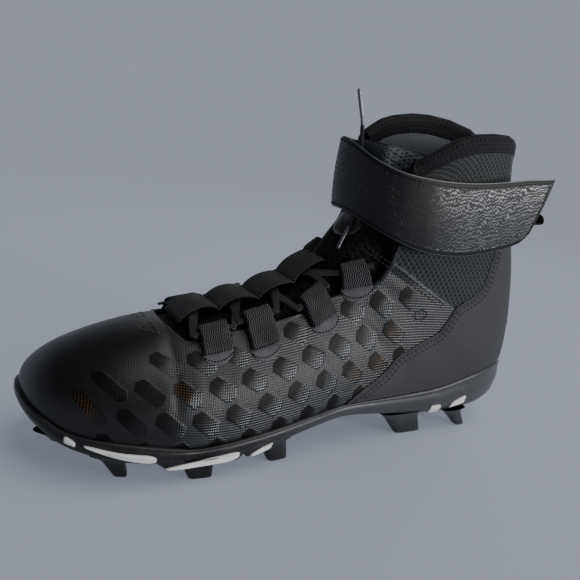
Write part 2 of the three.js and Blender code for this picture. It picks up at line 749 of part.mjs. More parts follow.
function loopPlace(loop, sign) {
  const u = loop.row / sectionCount;
  const foldV = 0.5 - sign * loop.fold;
  const baseV = 0.5 - sign * loop.base;
  return {
    sign,
    u,
    foldV,
    turn: THREE.MathUtils.degToRad(loop.turn),
    length: Math.abs(baseV - foldV) / vPerMillimetre(u, foldV),
    rise: rowsPerMillimetre(u, foldV),
    fall: vPerMillimetre(u, foldV),
  };
}

// Place on the last of a point of a loop, in mm along its fold and down the side from it
function loopPoint(place, along, down) {
  const [c, s] = [Math.cos(place.turn), Math.sin(place.turn)];
  return {
    u: place.u + (along * c - down * s) * place.rise,
    v: place.foldV - place.sign * (along * s + down * c) * place.fall,
  };
}

// A prism whose outline lies in (distance down the side, height over the last)
function loopPrism(outline, place, halfWidth) {
  return loftRings([-1, 0, 1].map((end) => outline.map(([down, height]) => {
    const { u, v } = loopPoint(place, end * halfWidth, down);
    return onLast(u, v, height);
  })));
}

function makeLoop(loop, sign) {
  const place = loopPlace(loop, sign);
  const tunnel = laceThickness + 2 * laceRoom;
  const high = loopSeat + tunnel + 2 * webbingThickness;
  const half = laceWidth / 2 + laceRoom;
  const { length } = place;
  const outer = [
    [-half - webbingThickness, loopSeat], [0, loopSeat], [length / 2, loopSeat], [length, loopSeat],
    [length, loopSeat + webbingThickness], [Math.min(half + 4, length - 1), high - webbingThickness],
    [half, high], [0, high], [-half, high], [-half - webbingThickness, high * 0.6],
  ];
  const low = loopSeat + webbingThickness;
  const hole = [[-half, low], [0, low], [half, low],
    [half, low + tunnel], [0, low + tunnel], [-half, low + tunnel]];
  return loopPrism(outer, place, loopWidth / 2).subtract(loopPrism(hole, place, loopWidth / 2 + 2));
}

// Keeper: a webbing down the middle of the tongue, humped over each crossing of the lace
const keeperFrom = 7.87 / sectionCount;
const keeperTo = 13.95 / sectionCount;
const keeperWidth = 23;
const keeperRise = 5.2;
const keeperHumps = 4;
const keeperStations = 32;

function alongTop(from, to, count) {
  const fine = 200;
  const places = Array.from({ length: fine + 1 }, (_, k) => mix(from, to, k / fine));
  const lengths = [0];
  for (let k = 1; k <= fine; k += 1) {
    lengths.push(lengths[k - 1] + lastPoint(places[k], 0.5).distanceTo(lastPoint(places[k - 1], 0.5)));
  }
  return Array.from({ length: count + 1 }, (_, k) => {
    const wanted = lengths[fine] * k / count;
    const index = clamp(lengths.findIndex((value) => value >= wanted), 1, fine);
    const share = (wanted - lengths[index - 1]) / (lengths[index] - lengths[index - 1]);
    return mix(places[index - 1], places[index], share);
  });
}

const keeperPlaces = alongTop(keeperFrom, keeperTo, keeperStations);
const humpAt = (k) => keeperPlaces[Math.round(keeperStations * (k + 0.5) / keeperHumps)];

function makeKeeper() {
  const stations = keeperPlaces.map((u, k) => {
    const wave = Math.abs(Math.sin(Math.PI * keeperHumps * k / keeperStations)) ** 0.7;
    const rise = keeperRise * (1 - 0.3 * k / keeperStations);
    const lift = tongueTop(u, 0.5) + 3 * clearance + webbingThickness / 2 + rise * wave;
    return {
      point: onLast(u, 0.5, lift),
      side: new THREE.Vector3(0, keeperWidth / 2, 0),
      up: lastNormal(u, 0.5).multiplyScalar(webbingThickness / 2),
    };
  });
  return bandBody(stations);
}

// Lace: from the bar at the toe end through the loops, crossing under the keeper's humps
function laceStrand(startSign) {
  let sign = startSign;
  const under = (k, y, ahead) => {
    const u = humpAt(k) - ahead * rowsPerMillimetre(humpAt(k), 0.5);
    return { u, v: 0.5 - y * vPerMillimetre(u, 0.5), height: laceHeight - 1.2, pinch: 1 };
  };
  const edge = keeperWidth / 2 + 1;
  const through = [under(0, 0, 0), under(0, sign * edge, 4)];
  loops.forEach((loop, k) => {
    const place = loopPlace(loop, sign);
    [-1.3, -1, 0, 1, 1.3].forEach((end) => {
      const along = end * (loopWidth / 2 + 1);
      through.push({ ...loopPoint(place, along, 0), height: laceHeight, pinch: lacePinch });
    });
    if (k + 1 < loops.length) {
      through.push(under(k + 1, sign * edge / 2, 0), under(k + 1, -sign * edge / 2, 2));
      sign = -sign;
    }
  });
  return through;
}

// Stations of the lace: two for each step of its route
function laceStations(route) {
  const points = route.map(({ u, v, height }) => onLast(u, v, height));
  const curve = new THREE.CatmullRomCurve3(points, false, 'catmullrom', laceSlack);
  const steps = route.length - 1;
  return Array.from({ length: 2 * steps + 1 }, (_, k) => {
    const index = Math.min(Math.floor(k / 2), steps - 1);
    const [a, b] = [route[index], route[index + 1]];
    const share = k / 2 - index;
    const tangent = curve.getTangent(k / 2 / steps);
    const normal = lastNormal(mix(a.u, b.u, share), mix(a.v, b.v, share));
    const side = normal.cross(tangent).normalize();
    return {
      point: curve.getPoint(k / 2 / steps),
      side: side.clone().multiplyScalar(laceWidth / 2 * mix(a.pinch, b.pinch, share)),
      up: tangent.clone().cross(side).multiplyScalar(laceThickness / 2),
    };
  });
}

function makeLace() {
  return bandBody(laceStations(laceStrand(1))).add(bandBody(laceStations(laceStrand(-1))));
}

// Ankle strap: from the medial side round the front to a free end behind the lateral side.
// x is a share of lastLength, y of heelWidth, low and high of shaftHeight above the sole.
const strapColumns = ['x', 'y', 'low', 'high'];
const strapRows = [
  [0.190, -0.511, 0.640, 0.880],
  [0.255, -0.509, 0.645, 0.893],
  [0.315, -0.500, 0.655, 0.907],
  [0.365, -0.448, 0.668, 0.920],
  [0.402, -0.330, 0.685, 0.930],
  [0.423, -0.130, 0.698, 0.934],
  [0.427, 0.100, 0.698, 0.918],
  [0.416, 0.310, 0.680, 0.888],
  [0.388, 0.475, 0.652, 0.864],
  [0.340, 0.548, 0.622, 0.852],
  [0.285, 0.575, 0.607, 0.848],
  [0.220, 0.580, 0.608, 0.852],
  [0.155, 0.585, 0.628, 0.864],
  [0.105, 0.592, 0.652, 0.876],
  [0.068, 0.600, 0.670, 0.884],
];
const strapThickness = 2.4;
const strapBow = 1.2;

function makeStrap() {
  const count = 28;
  const last = strapRows.length - 1;
  const row = (t) => tableRow(strapColumns, strapRows, t * last);
  const centre = ({ x, y }) => new THREE.Vector3(x * lastLength, y * heelWidth, 0);
  const freeLean = 0.045;
  return loftRings(Array.from({ length: count + 1 }, (_, k) => {
    const t = k / count;
    const here = row(t);
    const ahead = centre(row(Math.min(1, t + step))).sub(centre(row(Math.max(0, t - step))));
    const away = new THREE.Vector3(ahead.y, -ahead.x, 0).normalize();
    const base = centre(here);
    const at = (share, out) => {
      const lean = freeLean * lastLength * smooth(0.9, 1, t) * (share - 0.5);
      const bow = strapBow * (1 - (2 * share - 1) ** 2);
      const point = base.clone().addScaledVector(away, out * strapThickness + bow);
      point.x -= lean;
      point.z = studHeight + mix(here.low, here.high, share) * shaftHeight;
      return point;
    };
    return [at(0, 0), at(0.5, 0), at(1, 0), at(1, 1), at(0.5, 1), at(0, 1)];
  }));
}

// Heel webbing up the back, with two humps, and the pull loop above it
const heelWebWidth = 12;
const heelWebRows = [18.8, 22.6];
const heelWebHumps = [[19.8, 4.5], [21.55, 3.5]];

function makeHeelWebbing() {
  const [from, to] = heelWebRows;
  const count = 22;
  const seat = 2 * clearance + counterThickness + webbingThickness / 2;
  return bandBody(Array.from({ length: count + 1 }, (_, k) => {
    const row = mix(from, to, k / count);
    const u = row / sectionCount;
    const lift = heelWebHumps.reduce((sum, [middle, rise]) => (
      sum + rise * (1 - smooth(0, 0.5, Math.abs(row - middle)))), 0);
    return {
      point: onLast(u, 0, seat + lift),
      side: new THREE.Vector3(0, heelWebWidth / 2, 0),
      up: lastNormal(u, 0).multiplyScalar(webbingThickness / 2),
    };
  }));
}

const pullLoopReach = 36;
const pullLoopRows = [23.8, 24.6];

function makePullLoop() {
  const seat = 3 * clearance + counterThickness;
  const [low, high] = pullLoopRows.map((row) => onLast(row / sectionCount, 0, seat));
  const count = 14;
  const at = (t) => {
    const rise = Math.sin(Math.PI * (t - 0.5));
    const out = (1 - Math.abs(rise) ** 3.2) * pullLoopReach;
    return low.clone().lerp(high, (1 + rise) / 2).add(new THREE.Vector3(-out, 0, -0.2 * out));
  };
  return bandBody(Array.from({ length: count + 1 }, (_, k) => {
    const t = k / count;
    const tangent = at(Math.min(1, t + step)).sub(at(Math.max(0, t - step))).normalize();
    return {
      point: at(t),
      side: new THREE.Vector3(0, heelWebWidth / 2, 0),
      up: tangent.cross(new THREE.Vector3(0, 1, 0)).multiplyScalar(webbingThickness / 2),
    };
  }));
}

// Lace ends: a round cord with a stiff tip, through points given in mm over the last's own
// surface or, above the strap, in the shoe's frame
const cordWidth = 2.4;
const agletWidth = 2;
const cordSides = 8;
const cordStep = 4;

function cordBody(points, width) {
  const curve = new THREE.CatmullRomCurve3(points, false, 'centripetal');
  const shape = new THREE.Shape(Array.from({ length: cordSides }, (_, k) => {
    const angle = 2 * Math.PI * k / cordSides;
    return new THREE.Vector2(width / 2 * Math.cos(angle), width / 2 * Math.sin(angle));
  }));
  return fromGeometry(new THREE.ExtrudeGeometry(shape, {
    steps: Math.max(4, Math.round(curve.getLength() / cordStep)), extrudePath: curve,
  }));
}

const overTongue = (row, v, height) => onLast(row / sectionCount, v, height);
// The last point of a cord lies just short of its tip
const shortOf = (from, to) => to.clone().lerp(from, 1.5 * clearance / from.distanceTo(to));
const freeRoute = [
  overTongue(20, 0.492, -1), overTongue(21.2, 0.492, -1), overTongue(22.4, 0.492, -0.9),
  overTongue(23.6, 0.492, 0.6),
];
const freeTip = [[127.5, 181], [130.5, 191], [133.5, 200.5]]
  .map(([x, z]) => new THREE.Vector3(x, freeRoute[3].y, z));
const freeEnd = [...freeRoute, shortOf(freeRoute[3], freeTip[0])];
const tuckedRoute = [
  overTongue(21.6, 0.475, -1), overTongue(20.2, 0.47, -1), overTongue(18.9, 0.466, -0.9),
];
const tuckedTip = [
  overTongue(17.4, 0.4592, -0.4), overTongue(16.5, 0.455, 0), overTongue(15.6, 0.45, 0.3),
];
const tuckedEnd = [...tuckedRoute, shortOf(tuckedRoute[2], tuckedTip[0])];

addPiece('upper', makeUpper(), 'textile');
addPiece('outsole', makeOutsole(), 'rubber');
addPiece('insole', makeInsole(), 'foam');
addPiece('tongue', makeTongue(), 'foam');
addPiece('heel_counter', makeCounter(), 'synthetic');
addPiece('lace_keeper', makeKeeper(), 'webbing');
addPiece('lace', makeLace(), 'webbing');
addPiece('ankle_strap', makeStrap(), 'strap');
addPiece('heel_webbing', makeHeelWebbing(), 'webbing');
addPiece('heel_pull_loop', makePullLoop(), 'webbing');
sides.forEach(([side, sign]) => {
  pads.forEach((pad, k) => addPiece(`sole_insert_${side}_${k + 1}`, insertBody(pad, sign, 0), 'insert'));
  loops.forEach((loop, k) => addPiece(`lace_loop_${side}_${k + 1}`, makeLoop(loop, sign), 'webbing'));
});
addPiece('lace_end_free', cordBody(freeEnd, cordWidth), 'webbing');
addPiece('lace_end_free_aglet', cordBody(freeTip, agletWidth), 'aglet');
addPiece('lace_end_tucked', cordBody(tuckedEnd, cordWidth), 'webbing');
addPiece('lace_end_tucked_aglet', cordBody(tuckedTip, agletWidth), 'aglet');

// The origin lies under the middle of the shoe, on the plane of the stud tips
const box = new THREE.Box3();
group.children.filter((piece) => !piece.name.startsWith('lace_end'))
  .forEach((piece) => box.expandByObject(piece));
group.position.set(-(box.min.x + box.max.x) / 2, -(box.min.y + box.max.y) / 2, -box.min.z);

export default group;
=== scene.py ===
"""American football cleat, left foot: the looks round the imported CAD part."""

import math

import bpy
import numpy as np
from mathutils import Matrix


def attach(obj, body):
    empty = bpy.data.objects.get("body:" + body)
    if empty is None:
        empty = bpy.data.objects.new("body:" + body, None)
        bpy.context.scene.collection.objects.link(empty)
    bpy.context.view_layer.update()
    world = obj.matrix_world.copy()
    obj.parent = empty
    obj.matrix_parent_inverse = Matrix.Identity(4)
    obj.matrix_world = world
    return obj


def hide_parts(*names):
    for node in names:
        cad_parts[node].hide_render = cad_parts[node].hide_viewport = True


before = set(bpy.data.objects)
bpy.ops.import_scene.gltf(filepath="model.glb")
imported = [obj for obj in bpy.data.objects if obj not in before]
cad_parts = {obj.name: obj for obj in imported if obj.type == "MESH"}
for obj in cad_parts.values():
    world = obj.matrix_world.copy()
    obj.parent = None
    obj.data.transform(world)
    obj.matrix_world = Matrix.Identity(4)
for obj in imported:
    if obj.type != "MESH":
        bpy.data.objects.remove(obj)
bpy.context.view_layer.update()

LAST = 303.0
BALL, HEEL = 99.0, 68.0
INSTEP, SHAFT = 83.0, 172.0
STUD, PLATE = 12.5, 3.5
TOE_SPRING, ARCH, RIM, RIM_WALL, POD = 16.0, 8.0, 19.0, 2.0, 4.0
WALL, PADDING = 2.2, 4.2
SHIFT = np.array([140.341, 1.996, 0.0])

SECTIONS = np.array([
    [1.000, 0.028, 1.000, 0.280, 0, -0.06, 0.00, 0.00, 0.50, 2.1, 2.1],
    [0.997, 0.008, 0.997, 0.325, 0, -0.06, 0.21, 0.00, 0.40, 2.4, 2.1],
    [0.990, 0.002, 0.990, 0.370, 0, -0.05, 0.39, 0.00, 0.32, 2.9, 2.1],
    [0.977, 0.000, 0.977, 0.427, 0, -0.03, 0.54, 0.00, 0.26, 3.4, 2.1],
    [0.954, 0.000, 0.954, 0.495, 0, -0.01, 0.69, 0.00, 0.21, 3.9, 2.1],
    [0.917, 0.000, 0.917, 0.564, 0, 0.01, 0.83, 0.00, 0.18, 4.3, 2.1],
    [0.868, 0.000, 0.868, 0.631, 0, 0.03, 0.93, 0.00, 0.16, 4.5, 2.1],
    [0.812, 0.000, 0.812, 0.690, 0, 0.04, 0.98, 0.00, 0.16, 4.5, 2.05],
    [0.746, 0.000, 0.746, 0.737, 0, 0.05, 1.00, 0.00, 0.16, 4.5, 2.0],
    [0.677, 0.000, 0.680, 0.789, 0, 0.06, 0.92, 0.06, 0.16, 4.3, 2.0],
    [0.600, 0.000, 0.620, 0.849, 0, 0.08, 0.70, 0.27, 0.17, 4.0, 1.95],
    [0.521, 0.000, 0.568, 0.920, 0, 0.09, 0.44, 0.53, 0.18, 3.8, 1.9],
    [0.436, 0.000, 0.528, 1.000, 0, 0.07, 0.20, 0.78, 0.20, 3.6, 1.95],
    [0.347, 0.000, 0.498, 1.000, 0.060, 0.045, 0.07, 0.92, 0.24, 3.4, 2.05],
    [0.257, 0.000, 0.480, 1.000, 0.118, 0.025, 0.00, 0.99, 0.29, 3.1, 2.2],
    [0.162, 0.000, 0.466, 1.000, 0.174, 0.012, 0.00, 1.00, 0.34, 2.8, 2.35],
    [0.082, 0.004, 0.453, 1.000, 0.230, 0, 0.00, 1.00, 0.38, 2.5, 2.5],
    [0.024, 0.025, 0.442, 1.000, 0.292, 0, 0.00, 1.00, 0.41, 2.35, 2.6],
    [-0.004, 0.078, 0.430, 1.000, 0.358, 0, 0.00, 0.99, 0.43, 2.25, 2.7],
    [-0.013, 0.160, 0.421, 1.000, 0.423, 0, 0.00, 0.98, 0.45, 2.2, 2.8],
    [-0.012, 0.260, 0.416, 1.000, 0.489, 0, 0.00, 0.97, 0.45, 2.15, 2.8],
    [-0.004, 0.365, 0.413, 1.000, 0.556, 0, 0.00, 0.97, 0.45, 2.1, 2.8],
    [0.010, 0.473, 0.412, 1.000, 0.629, 0, 0.00, 0.98, 0.45, 2.1, 2.8],
    [0.027, 0.580, 0.412, 1.000, 0.702, 0, 0.00, 0.99, 0.45, 2.05, 2.8],
    [0.044, 0.685, 0.410, 1.000, 0.777, 0, 0.00, 1.00, 0.45, 2.05, 2.8],
    [0.060, 0.787, 0.408, 1.000, 0.854, 0, 0.00, 1.01, 0.45, 2.05, 2.8],
    [0.070, 0.886, 0.406, 1.000, 0.938, 0, 0.00, 1.01, 0.45, 2.05, 2.8],
    [0.075, 0.981, 0.405, 1.000, 1.028, 0, 0.00, 1.00, 0.45, 2.05, 2.8],
    [0.077, 1.060, 0.404, 1.000, 1.150, 0, 0.00, 0.98, 0.45, 2.05, 2.8],
])
SOLE_LINE = np.array([
    [-0.03, 0, 0.55, 1.53], [0.040, 0, 0.28, 1.48], [0.100, 0, 0.16, 1.36],
    [0.190, 0, 0.14, 1.05], [0.264, 0, 0.32, 0.91], [0.347, 0, 0.72, 0.87],
    [0.436, 0, 1.00, 0.85], [0.521, 0, 0.69, 0.72], [0.600, 0, 0.25, 0.58],
    [0.677, 0, 0.03, 0.44], [0.746, 0, 0, 0.37], [0.812, 0.02, 0, 0.50],
    [0.868, 0.10, 0, 0.62], [0.917, 0.25, 0, 0.70], [0.954, 0.43, 0, 0.79],
    [0.985, 0.72, 0, 1.02], [1.010, 1.00, 0, 1.16],
])
COLLAR = np.array([
    [0.600, 0.720, 0.660], [0.450, 0.800, 0.745], [0.392, 0.892, 0.820],
    [0.343, 0.962, 0.890], [0.307, 0.994, 0.937], [0.274, 1.011, 0.970],
    [0.231, 1.023, 0.993], [0.188, 1.026, 1.000], [0.139, 1.018, 0.998],
    [0.100, 0.996, 0.986], [0.078, 0.960, 0.950], [-0.100, 0.880, 0.870],
])
ROWS = len(SECTIONS) - 1
FRONT = 7.5 / 28


def mix(a, b, t):
    return a + (b - a) * t


def smooth(low, high, value):
    t = np.clip((np.asarray(value, float) - low) / (high - low), 0, 1)
    return t * t * (3 - 2 * t)


def table_at(rows, at):
    rows = np.asarray(rows, float)
    at = np.clip(np.asarray(at, float), 0, len(rows) - 1)
    k = np.minimum(np.floor(at).astype(int), len(rows) - 2)
    t = (at - k)[..., None]
    wide = np.vstack([2 * rows[0] - rows[1], rows, 2 * rows[-1] - rows[-2]])
    a, b, c, d = wide[k], wide[k + 1], wide[k + 2], wide[k + 3]
    return b + 0.5 * (t * (c - a) + t * t * (2 * a - 5 * b + 4 * c - d)
                      + t ** 3 * (3 * b - a - 3 * c + d))


def sole_at(x):
    places = SOLE_LINE[:, 0]
    share = np.clip(np.asarray(x, float) / LAST, places[0], places[-1])
    low = np.searchsorted(places[1:-1], share)
    line = table_at(SOLE_LINE, low + (share - places[low]) / (places[low + 1] - places[low]))
    under = STUD + TOE_SPRING * line[..., 1] + ARCH * line[..., 2]
    return under, STUD + RIM * line[..., 3]


def last_point(u, v):
    u, v = np.broadcast_arrays(np.asarray(u, float), np.asarray(v, float))
    row = table_at(SECTIONS, u * ROWS)
    bottom_x, top_x = row[..., 0] * LAST, row[..., 2] * LAST
    bottom_z = sole_at(bottom_x)[0] + PLATE + row[..., 1] * SHAFT
    top_z = STUD + row[..., 3] * INSTEP + row[..., 4] * (SHAFT - INSTEP)
    angle = (v - 0.25) * 2 * np.pi
    across, along = np.cos(angle), np.sin(angle)
    power = np.where(along > 0, row[..., 10], row[..., 9])
    reach = (np.abs(across) ** power + np.abs(along) ** power) ** (-1 / power)
    half = row[..., 6] * BALL / 2 + row[..., 7] * HEEL / 2
    waist = row[..., 8]
    share = waist + np.where(along > 0, 1 - waist, waist) * along * reach
    return np.stack([mix(bottom_x, top_x, share),
                     row[..., 5] * BALL / 2 + half * across * reach,
                     mix(bottom_z, top_z, share)], -1)


STEP = 1e-3


def unit(a):
    return a / np.maximum(np.linalg.norm(a, axis=-1, keepdims=True), 1e-9)


def last_normal(u, v):
    u = np.clip(np.asarray(u, float), STEP, 1 - STEP)
    v = np.asarray(v, float)
    along_u = last_point(u + STEP, v) - last_point(u - STEP, v)
    along_v = last_point(u, v + STEP) - last_point(u, v - STEP)
    return unit(np.cross(along_u, along_v))


def on_last(u, v, offset=0.0):
    u, v, offset = np.broadcast_arrays(u, v, offset)
    moved = last_point(u, v) + last_normal(u, v) * offset[..., None]
    tip = last_point(0.0, 0.0) + offset[..., None] * np.array([1.0, 0, 0])
    return np.where((u <= 0)[..., None], tip, moved)


def wall_at(z):
    return WALL + PADDING * smooth(STUD + 0.46 * SHAFT, STUD + 0.72 * SHAFT, z)


def throat_half(u):
    u = np.asarray(u, float)
    blunt = np.sqrt(np.clip((u - FRONT) / 0.014, 0, 1))
    return np.where(u > FRONT, 0.084 * blunt + 0.016 * smooth(0.32, 0.42, u)
                    + 0.035 * smooth(0.42, 0.58, u), 0)


def collar_height(point):
    line = COLLAR[::-1]
    x = point[..., 0] / LAST
    share = (point[..., 1] + HEEL / 2) / HEEL
    medial, lateral = (np.interp(x, line[:, 0], line[:, k]) for k in (1, 2))
    return STUD + SHAFT * mix(medial, lateral, share)


# ---------------------------------------------------------------- camera
CAMERA_PLACE = (0.225918, 0.361477, 0.201015)
CAMERA_TURN, CAMERA_RISE, CAMERA_ROLL = (math.radians(a) for a in (29.8303, 15.4981, 7.9764))


def make_camera():
    a, e = CAMERA_TURN, CAMERA_RISE
    back = np.array([math.sin(a) * math.cos(e), math.cos(a) * math.cos(e), math.sin(e)])
    right = np.array([-math.cos(a), math.sin(a), 0.0])
    up = np.cross(back, right)
    c, s = math.cos(CAMERA_ROLL), math.sin(CAMERA_ROLL)
    turned = np.stack([c * right + s * up, -s * right + c * up, back], 1)
    data = bpy.data.cameras.new("camera")
    data.lens = 47.087
    data.sensor_width = 36
    data.clip_start = 0.01
    camera = bpy.data.objects.new("camera", data)
    bpy.context.scene.collection.objects.link(camera)
    matrix = np.eye(4)
    matrix[:3, :3] = turned
    matrix[:3, 3] = CAMERA_PLACE
    camera.matrix_world = Matrix(matrix.tolist())
    bpy.context.scene.camera = camera


make_camera()


# ---------------------------------------------------------------- meshes
def to_row(points):
    return (np.asarray(points, float) - SHIFT) / 1000


def grid_faces(rows, columns, closed=False, base=0):
    count = columns if closed else columns - 1
    i, j = np.meshgrid(np.arange(rows - 1), np.arange(count), indexing="ij")
    a, b = i * columns + j, i * columns + (j + 1) % columns
    return (np.stack([a, b, b + columns, a + columns], -1).reshape(-1, 4) + base).tolist()


def build(name, points, faces, materials, replaces=(), uv=None, fields=None, face_slots=None):
    mesh = bpy.data.meshes.new(name)
    mesh.from_pydata(to_row(points).tolist(), [], faces)
    corner = np.empty(len(mesh.loops), dtype=np.int32)
    mesh.loops.foreach_get("vertex_index", corner)
    if uv is not None:
        layer = mesh.uv_layers.new(name="mm")
        layer.data.foreach_set("uv", np.asarray(uv, np.float32)[corner].ravel())
    for key, values in (fields or {}).items():
        attribute = mesh.attributes.new(key, "FLOAT", "POINT")
        attribute.data.foreach_set("value", np.asarray(values, np.float32).ravel())
    mesh.polygons.foreach_set("use_smooth", np.ones(len(mesh.polygons), bool))
    for material in materials:
        mesh.materials.append(material)
    if face_slots is not None:
        mesh.polygons.foreach_set("material_index", np.asarray(face_slots, np.int32))
    piece = bpy.data.objects.new(name, mesh)
    bpy.context.scene.collection.objects.link(piece)
    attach(piece, "root")
    if replaces:
        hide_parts(*replaces)
    return piece


def arc(points):
    steps = np.linalg.norm(np.diff(points, axis=0), axis=-1)
    return np.concatenate([[0], np.cumsum(steps)])


def resample(points, count=None, pitch=None):
    points = np.asarray(points, float)
    along = arc(points)
    if count is None:
        count = max(2, int(round(along[-1] / pitch)) + 1)
    wanted = np.linspace(0, along[-1], count)
    return np.stack([np.interp(wanted, along, points[:, k]) for k in range(points.shape[1])], 1)


def curve_through(points, per_span=12):
    points = np.asarray(points, float)
    return table_at(points, np.linspace(0, len(points) - 1, (len(points) - 1) * per_span + 1))


def side_place(x, z):
    """Row share and v on the lateral half of the last for places in the side view."""
    u_grid, v_grid = np.meshgrid(np.linspace(0.02, 0.98, 240), np.linspace(0.02, 0.48, 90),
                                 indexing="ij")
    grid = last_point(u_grid, v_grid)[..., [0, 2]].reshape(-1, 2)
    target = np.stack([np.asarray(x, float), np.asarray(z, float)], -1).reshape(-1, 2)
    near = np.array([np.argmin(((grid - t) ** 2).sum(1)) for t in target])
    u, v = u_grid.ravel()[near], v_grid.ravel()[near]
    for _ in range(6):
        here = last_point(u, v)[:, [0, 2]]
        by_u = (last_point(u + STEP, v)[:, [0, 2]] - here) / STEP
        by_v = (last_point(u, v + STEP)[:, [0, 2]] - here) / STEP
        miss = target - here
        det = by_u[:, 0] * by_v[:, 1] - by_u[:, 1] * by_v[:, 0]
        det = np.where(np.abs(det) < 1e-6, 1e-6, det)
        u = np.clip(u + (miss[:, 0] * by_v[:, 1] - miss[:, 1] * by_v[:, 0]) / det, 0.01, 0.99)
        v = np.clip(v + (by_u[:, 0] * miss[:, 1] - by_u[:, 1] * miss[:, 0]) / det, 0.005, 0.495)
    return u, v


def outline_distance(points, outline):
    """Signed distance in the side view to a closed outline, positive inside."""
    flat = points.reshape(-1, 2)
    a, b = outline, np.roll(outline, -1, axis=0)
    best = np.full(len(flat), 1e9)
    inside = np.zeros(len(flat), bool)
    for p, q in zip(a, b):
        edge = q - p
        t = np.clip(((flat - p) @ edge) / max(edge @ edge, 1e-9), 0, 1)
        best = np.minimum(best, np.linalg.norm(flat - p - t[:, None] * edge, axis=1))
        above = (p[1] > flat[:, 1]) != (q[1] > flat[:, 1])
        run = p[0] + (flat[:, 1] - p[1]) * edge[0] / (edge[1] if abs(edge[1]) > 1e-9 else 1e-9)
        inside ^= above & (flat[:, 0] < run)
    return np.where(inside, best, -best).reshape(points.shape[:-1])


def cut_panel(u, v, field):
    """Triangles of a grid over the last where field > 0, cut straight along field = 0.
    Gives places (u, v), field values, faces, and the edge pairs of the rim."""
    rows, columns = u.shape
    quads = np.array(grid_faces(rows, columns))
    tris = np.concatenate([quads[:, [0, 1, 2]], quads[:, [0, 2, 3]]])
    places = np.stack([u.ravel(), v.ravel()], 1)
    values = field.ravel().astype(float)
    inside = values > 0
    count = inside[tris].sum(1)
    faces = tris[count == 3].tolist()
    extra, extra_values, known = [], [], {}

    def crossing(a, b):
        key = (min(a, b), max(a, b))
        if key not in known:
            t = values[a] / (values[a] - values[b])
            extra.append(places[a] + t * (places[b] - places[a]))
            known[key] = len(places) + len(extra) - 1
        return known[key]

    for tri in tris[(count == 1) | (count == 2)].tolist():
        face = []
        for k in range(3):
            a, b = tri[k], tri[(k + 1) % 3]
            if inside[a]:
                face.append(a)
            if inside[a] != inside[b]:
                face.append(crossing(a, b))
        faces.append(face)
    places = np.concatenate([places, np.array(extra).reshape(-1, 2)])
    values = np.concatenate([values, np.zeros(len(extra))])
    used = np.unique(np.concatenate([np.array(f) for f in faces]))
    renumber = np.full(len(places), -1)
    renumber[used] = np.arange(len(used))
    faces = [[int(renumber[k]) for k in face] for face in faces]
    owners = {}
    for face in faces:
        for k in range(len(face)):
            pair = (face[k], face[(k + 1) % len(face)])
            owners[pair] = owners.get(pair, 0) + 1
    rim = [pair for pair in owners if (pair[1], pair[0]) not in owners]
    return places[used], values[used], faces, rim


def panel(name, u, v, field, low, high, bevel, material, replaces=(), surface=None, uv_of=None):
    surface = surface or on_last
    places, values, faces, rim = cut_panel(u, v, field)
    drop = bevel * (1 - smooth(0, 1.6 * bevel + 0.4, values))
    top = surface(places[:, 0], places[:, 1], high - drop)
    base = len(top)
    edge = sorted({k for pair in rim for k in pair})
    place = {k: base + i for i, k in enumerate(edge)}
    upper_edge = top[edge]
    lower_edge = surface(places[edge, 0], places[edge, 1], low)
    points = np.concatenate([top, upper_edge, lower_edge])
    for a, b in rim:
        faces.append([place[b], place[a], place[a] + len(edge), place[b] + len(edge)])
    uv = uv_of(points) if uv_of else points[:, [0, 2]]
    every = np.concatenate([values, np.zeros(2 * len(edge))])
    return build(name, points, faces, [material], replaces, uv=uv, fields={"edge": every})


def stitches(name, paths, pitch, length, width, material, height=0.15):
    """Short threads laid along paths of (points, normals); one joined mesh."""
    ring = np.linspace(0, 2 * np.pi, 6)[:-1]
    stations = np.array([-0.5, -0.34, 0, 0.34, 0.5])
    radii = np.array([0.25, 0.8, 1.0, 0.8, 0.25])
    arch = np.array([-0.5, 0.1, 0.35, 0.1, -0.5])
    points, faces, uvs = [], [], []
    base = 0
    template = grid_faces(len(stations), 5, closed=True)
    for path, normals in paths:
        if len(path) < 2:
            continue
        along = arc(path)
        count = max(1, int(along[-1] / pitch))
        middle = (np.arange(count) + 0.5) * along[-1] / count
        at = np.stack([np.interp(middle, along, path[:, k]) for k in range(3)], 1)
        ahead = np.stack([np.interp(middle + 0.2, along, path[:, k]) for k in range(3)], 1)
        behind = np.stack([np.interp(middle - 0.2, along, path[:, k]) for k in range(3)], 1)
        up = unit(np.stack([np.interp(middle, along, normals[:, k]) for k in range(3)], 1))
        tangent = unit(ahead - behind)
        side = unit(np.cross(up, tangent))
        for c, t, s, n in zip(at, tangent, side, up):
            for k, place in enumerate(stations):
                centre = c + t * place * length + n * (height + arch[k] * width * 0.5)
                for angle in ring:
                    points.append(centre + radii[k] * width / 2
                                  * (math.cos(angle) * s + 0.7 * math.sin(angle) * n))
                    uvs.append((place * length, angle))
            faces.extend([[q + base for q in face] for face in template])
            faces.append([base + q for q in range(4, -1, -1)])
            faces.append([base + 5 * (len(stations) - 1) + q for q in range(5)])
            base += 5 * len(stations)
    return build(name, np.array(points), faces, [material], uv=np.array(uvs))


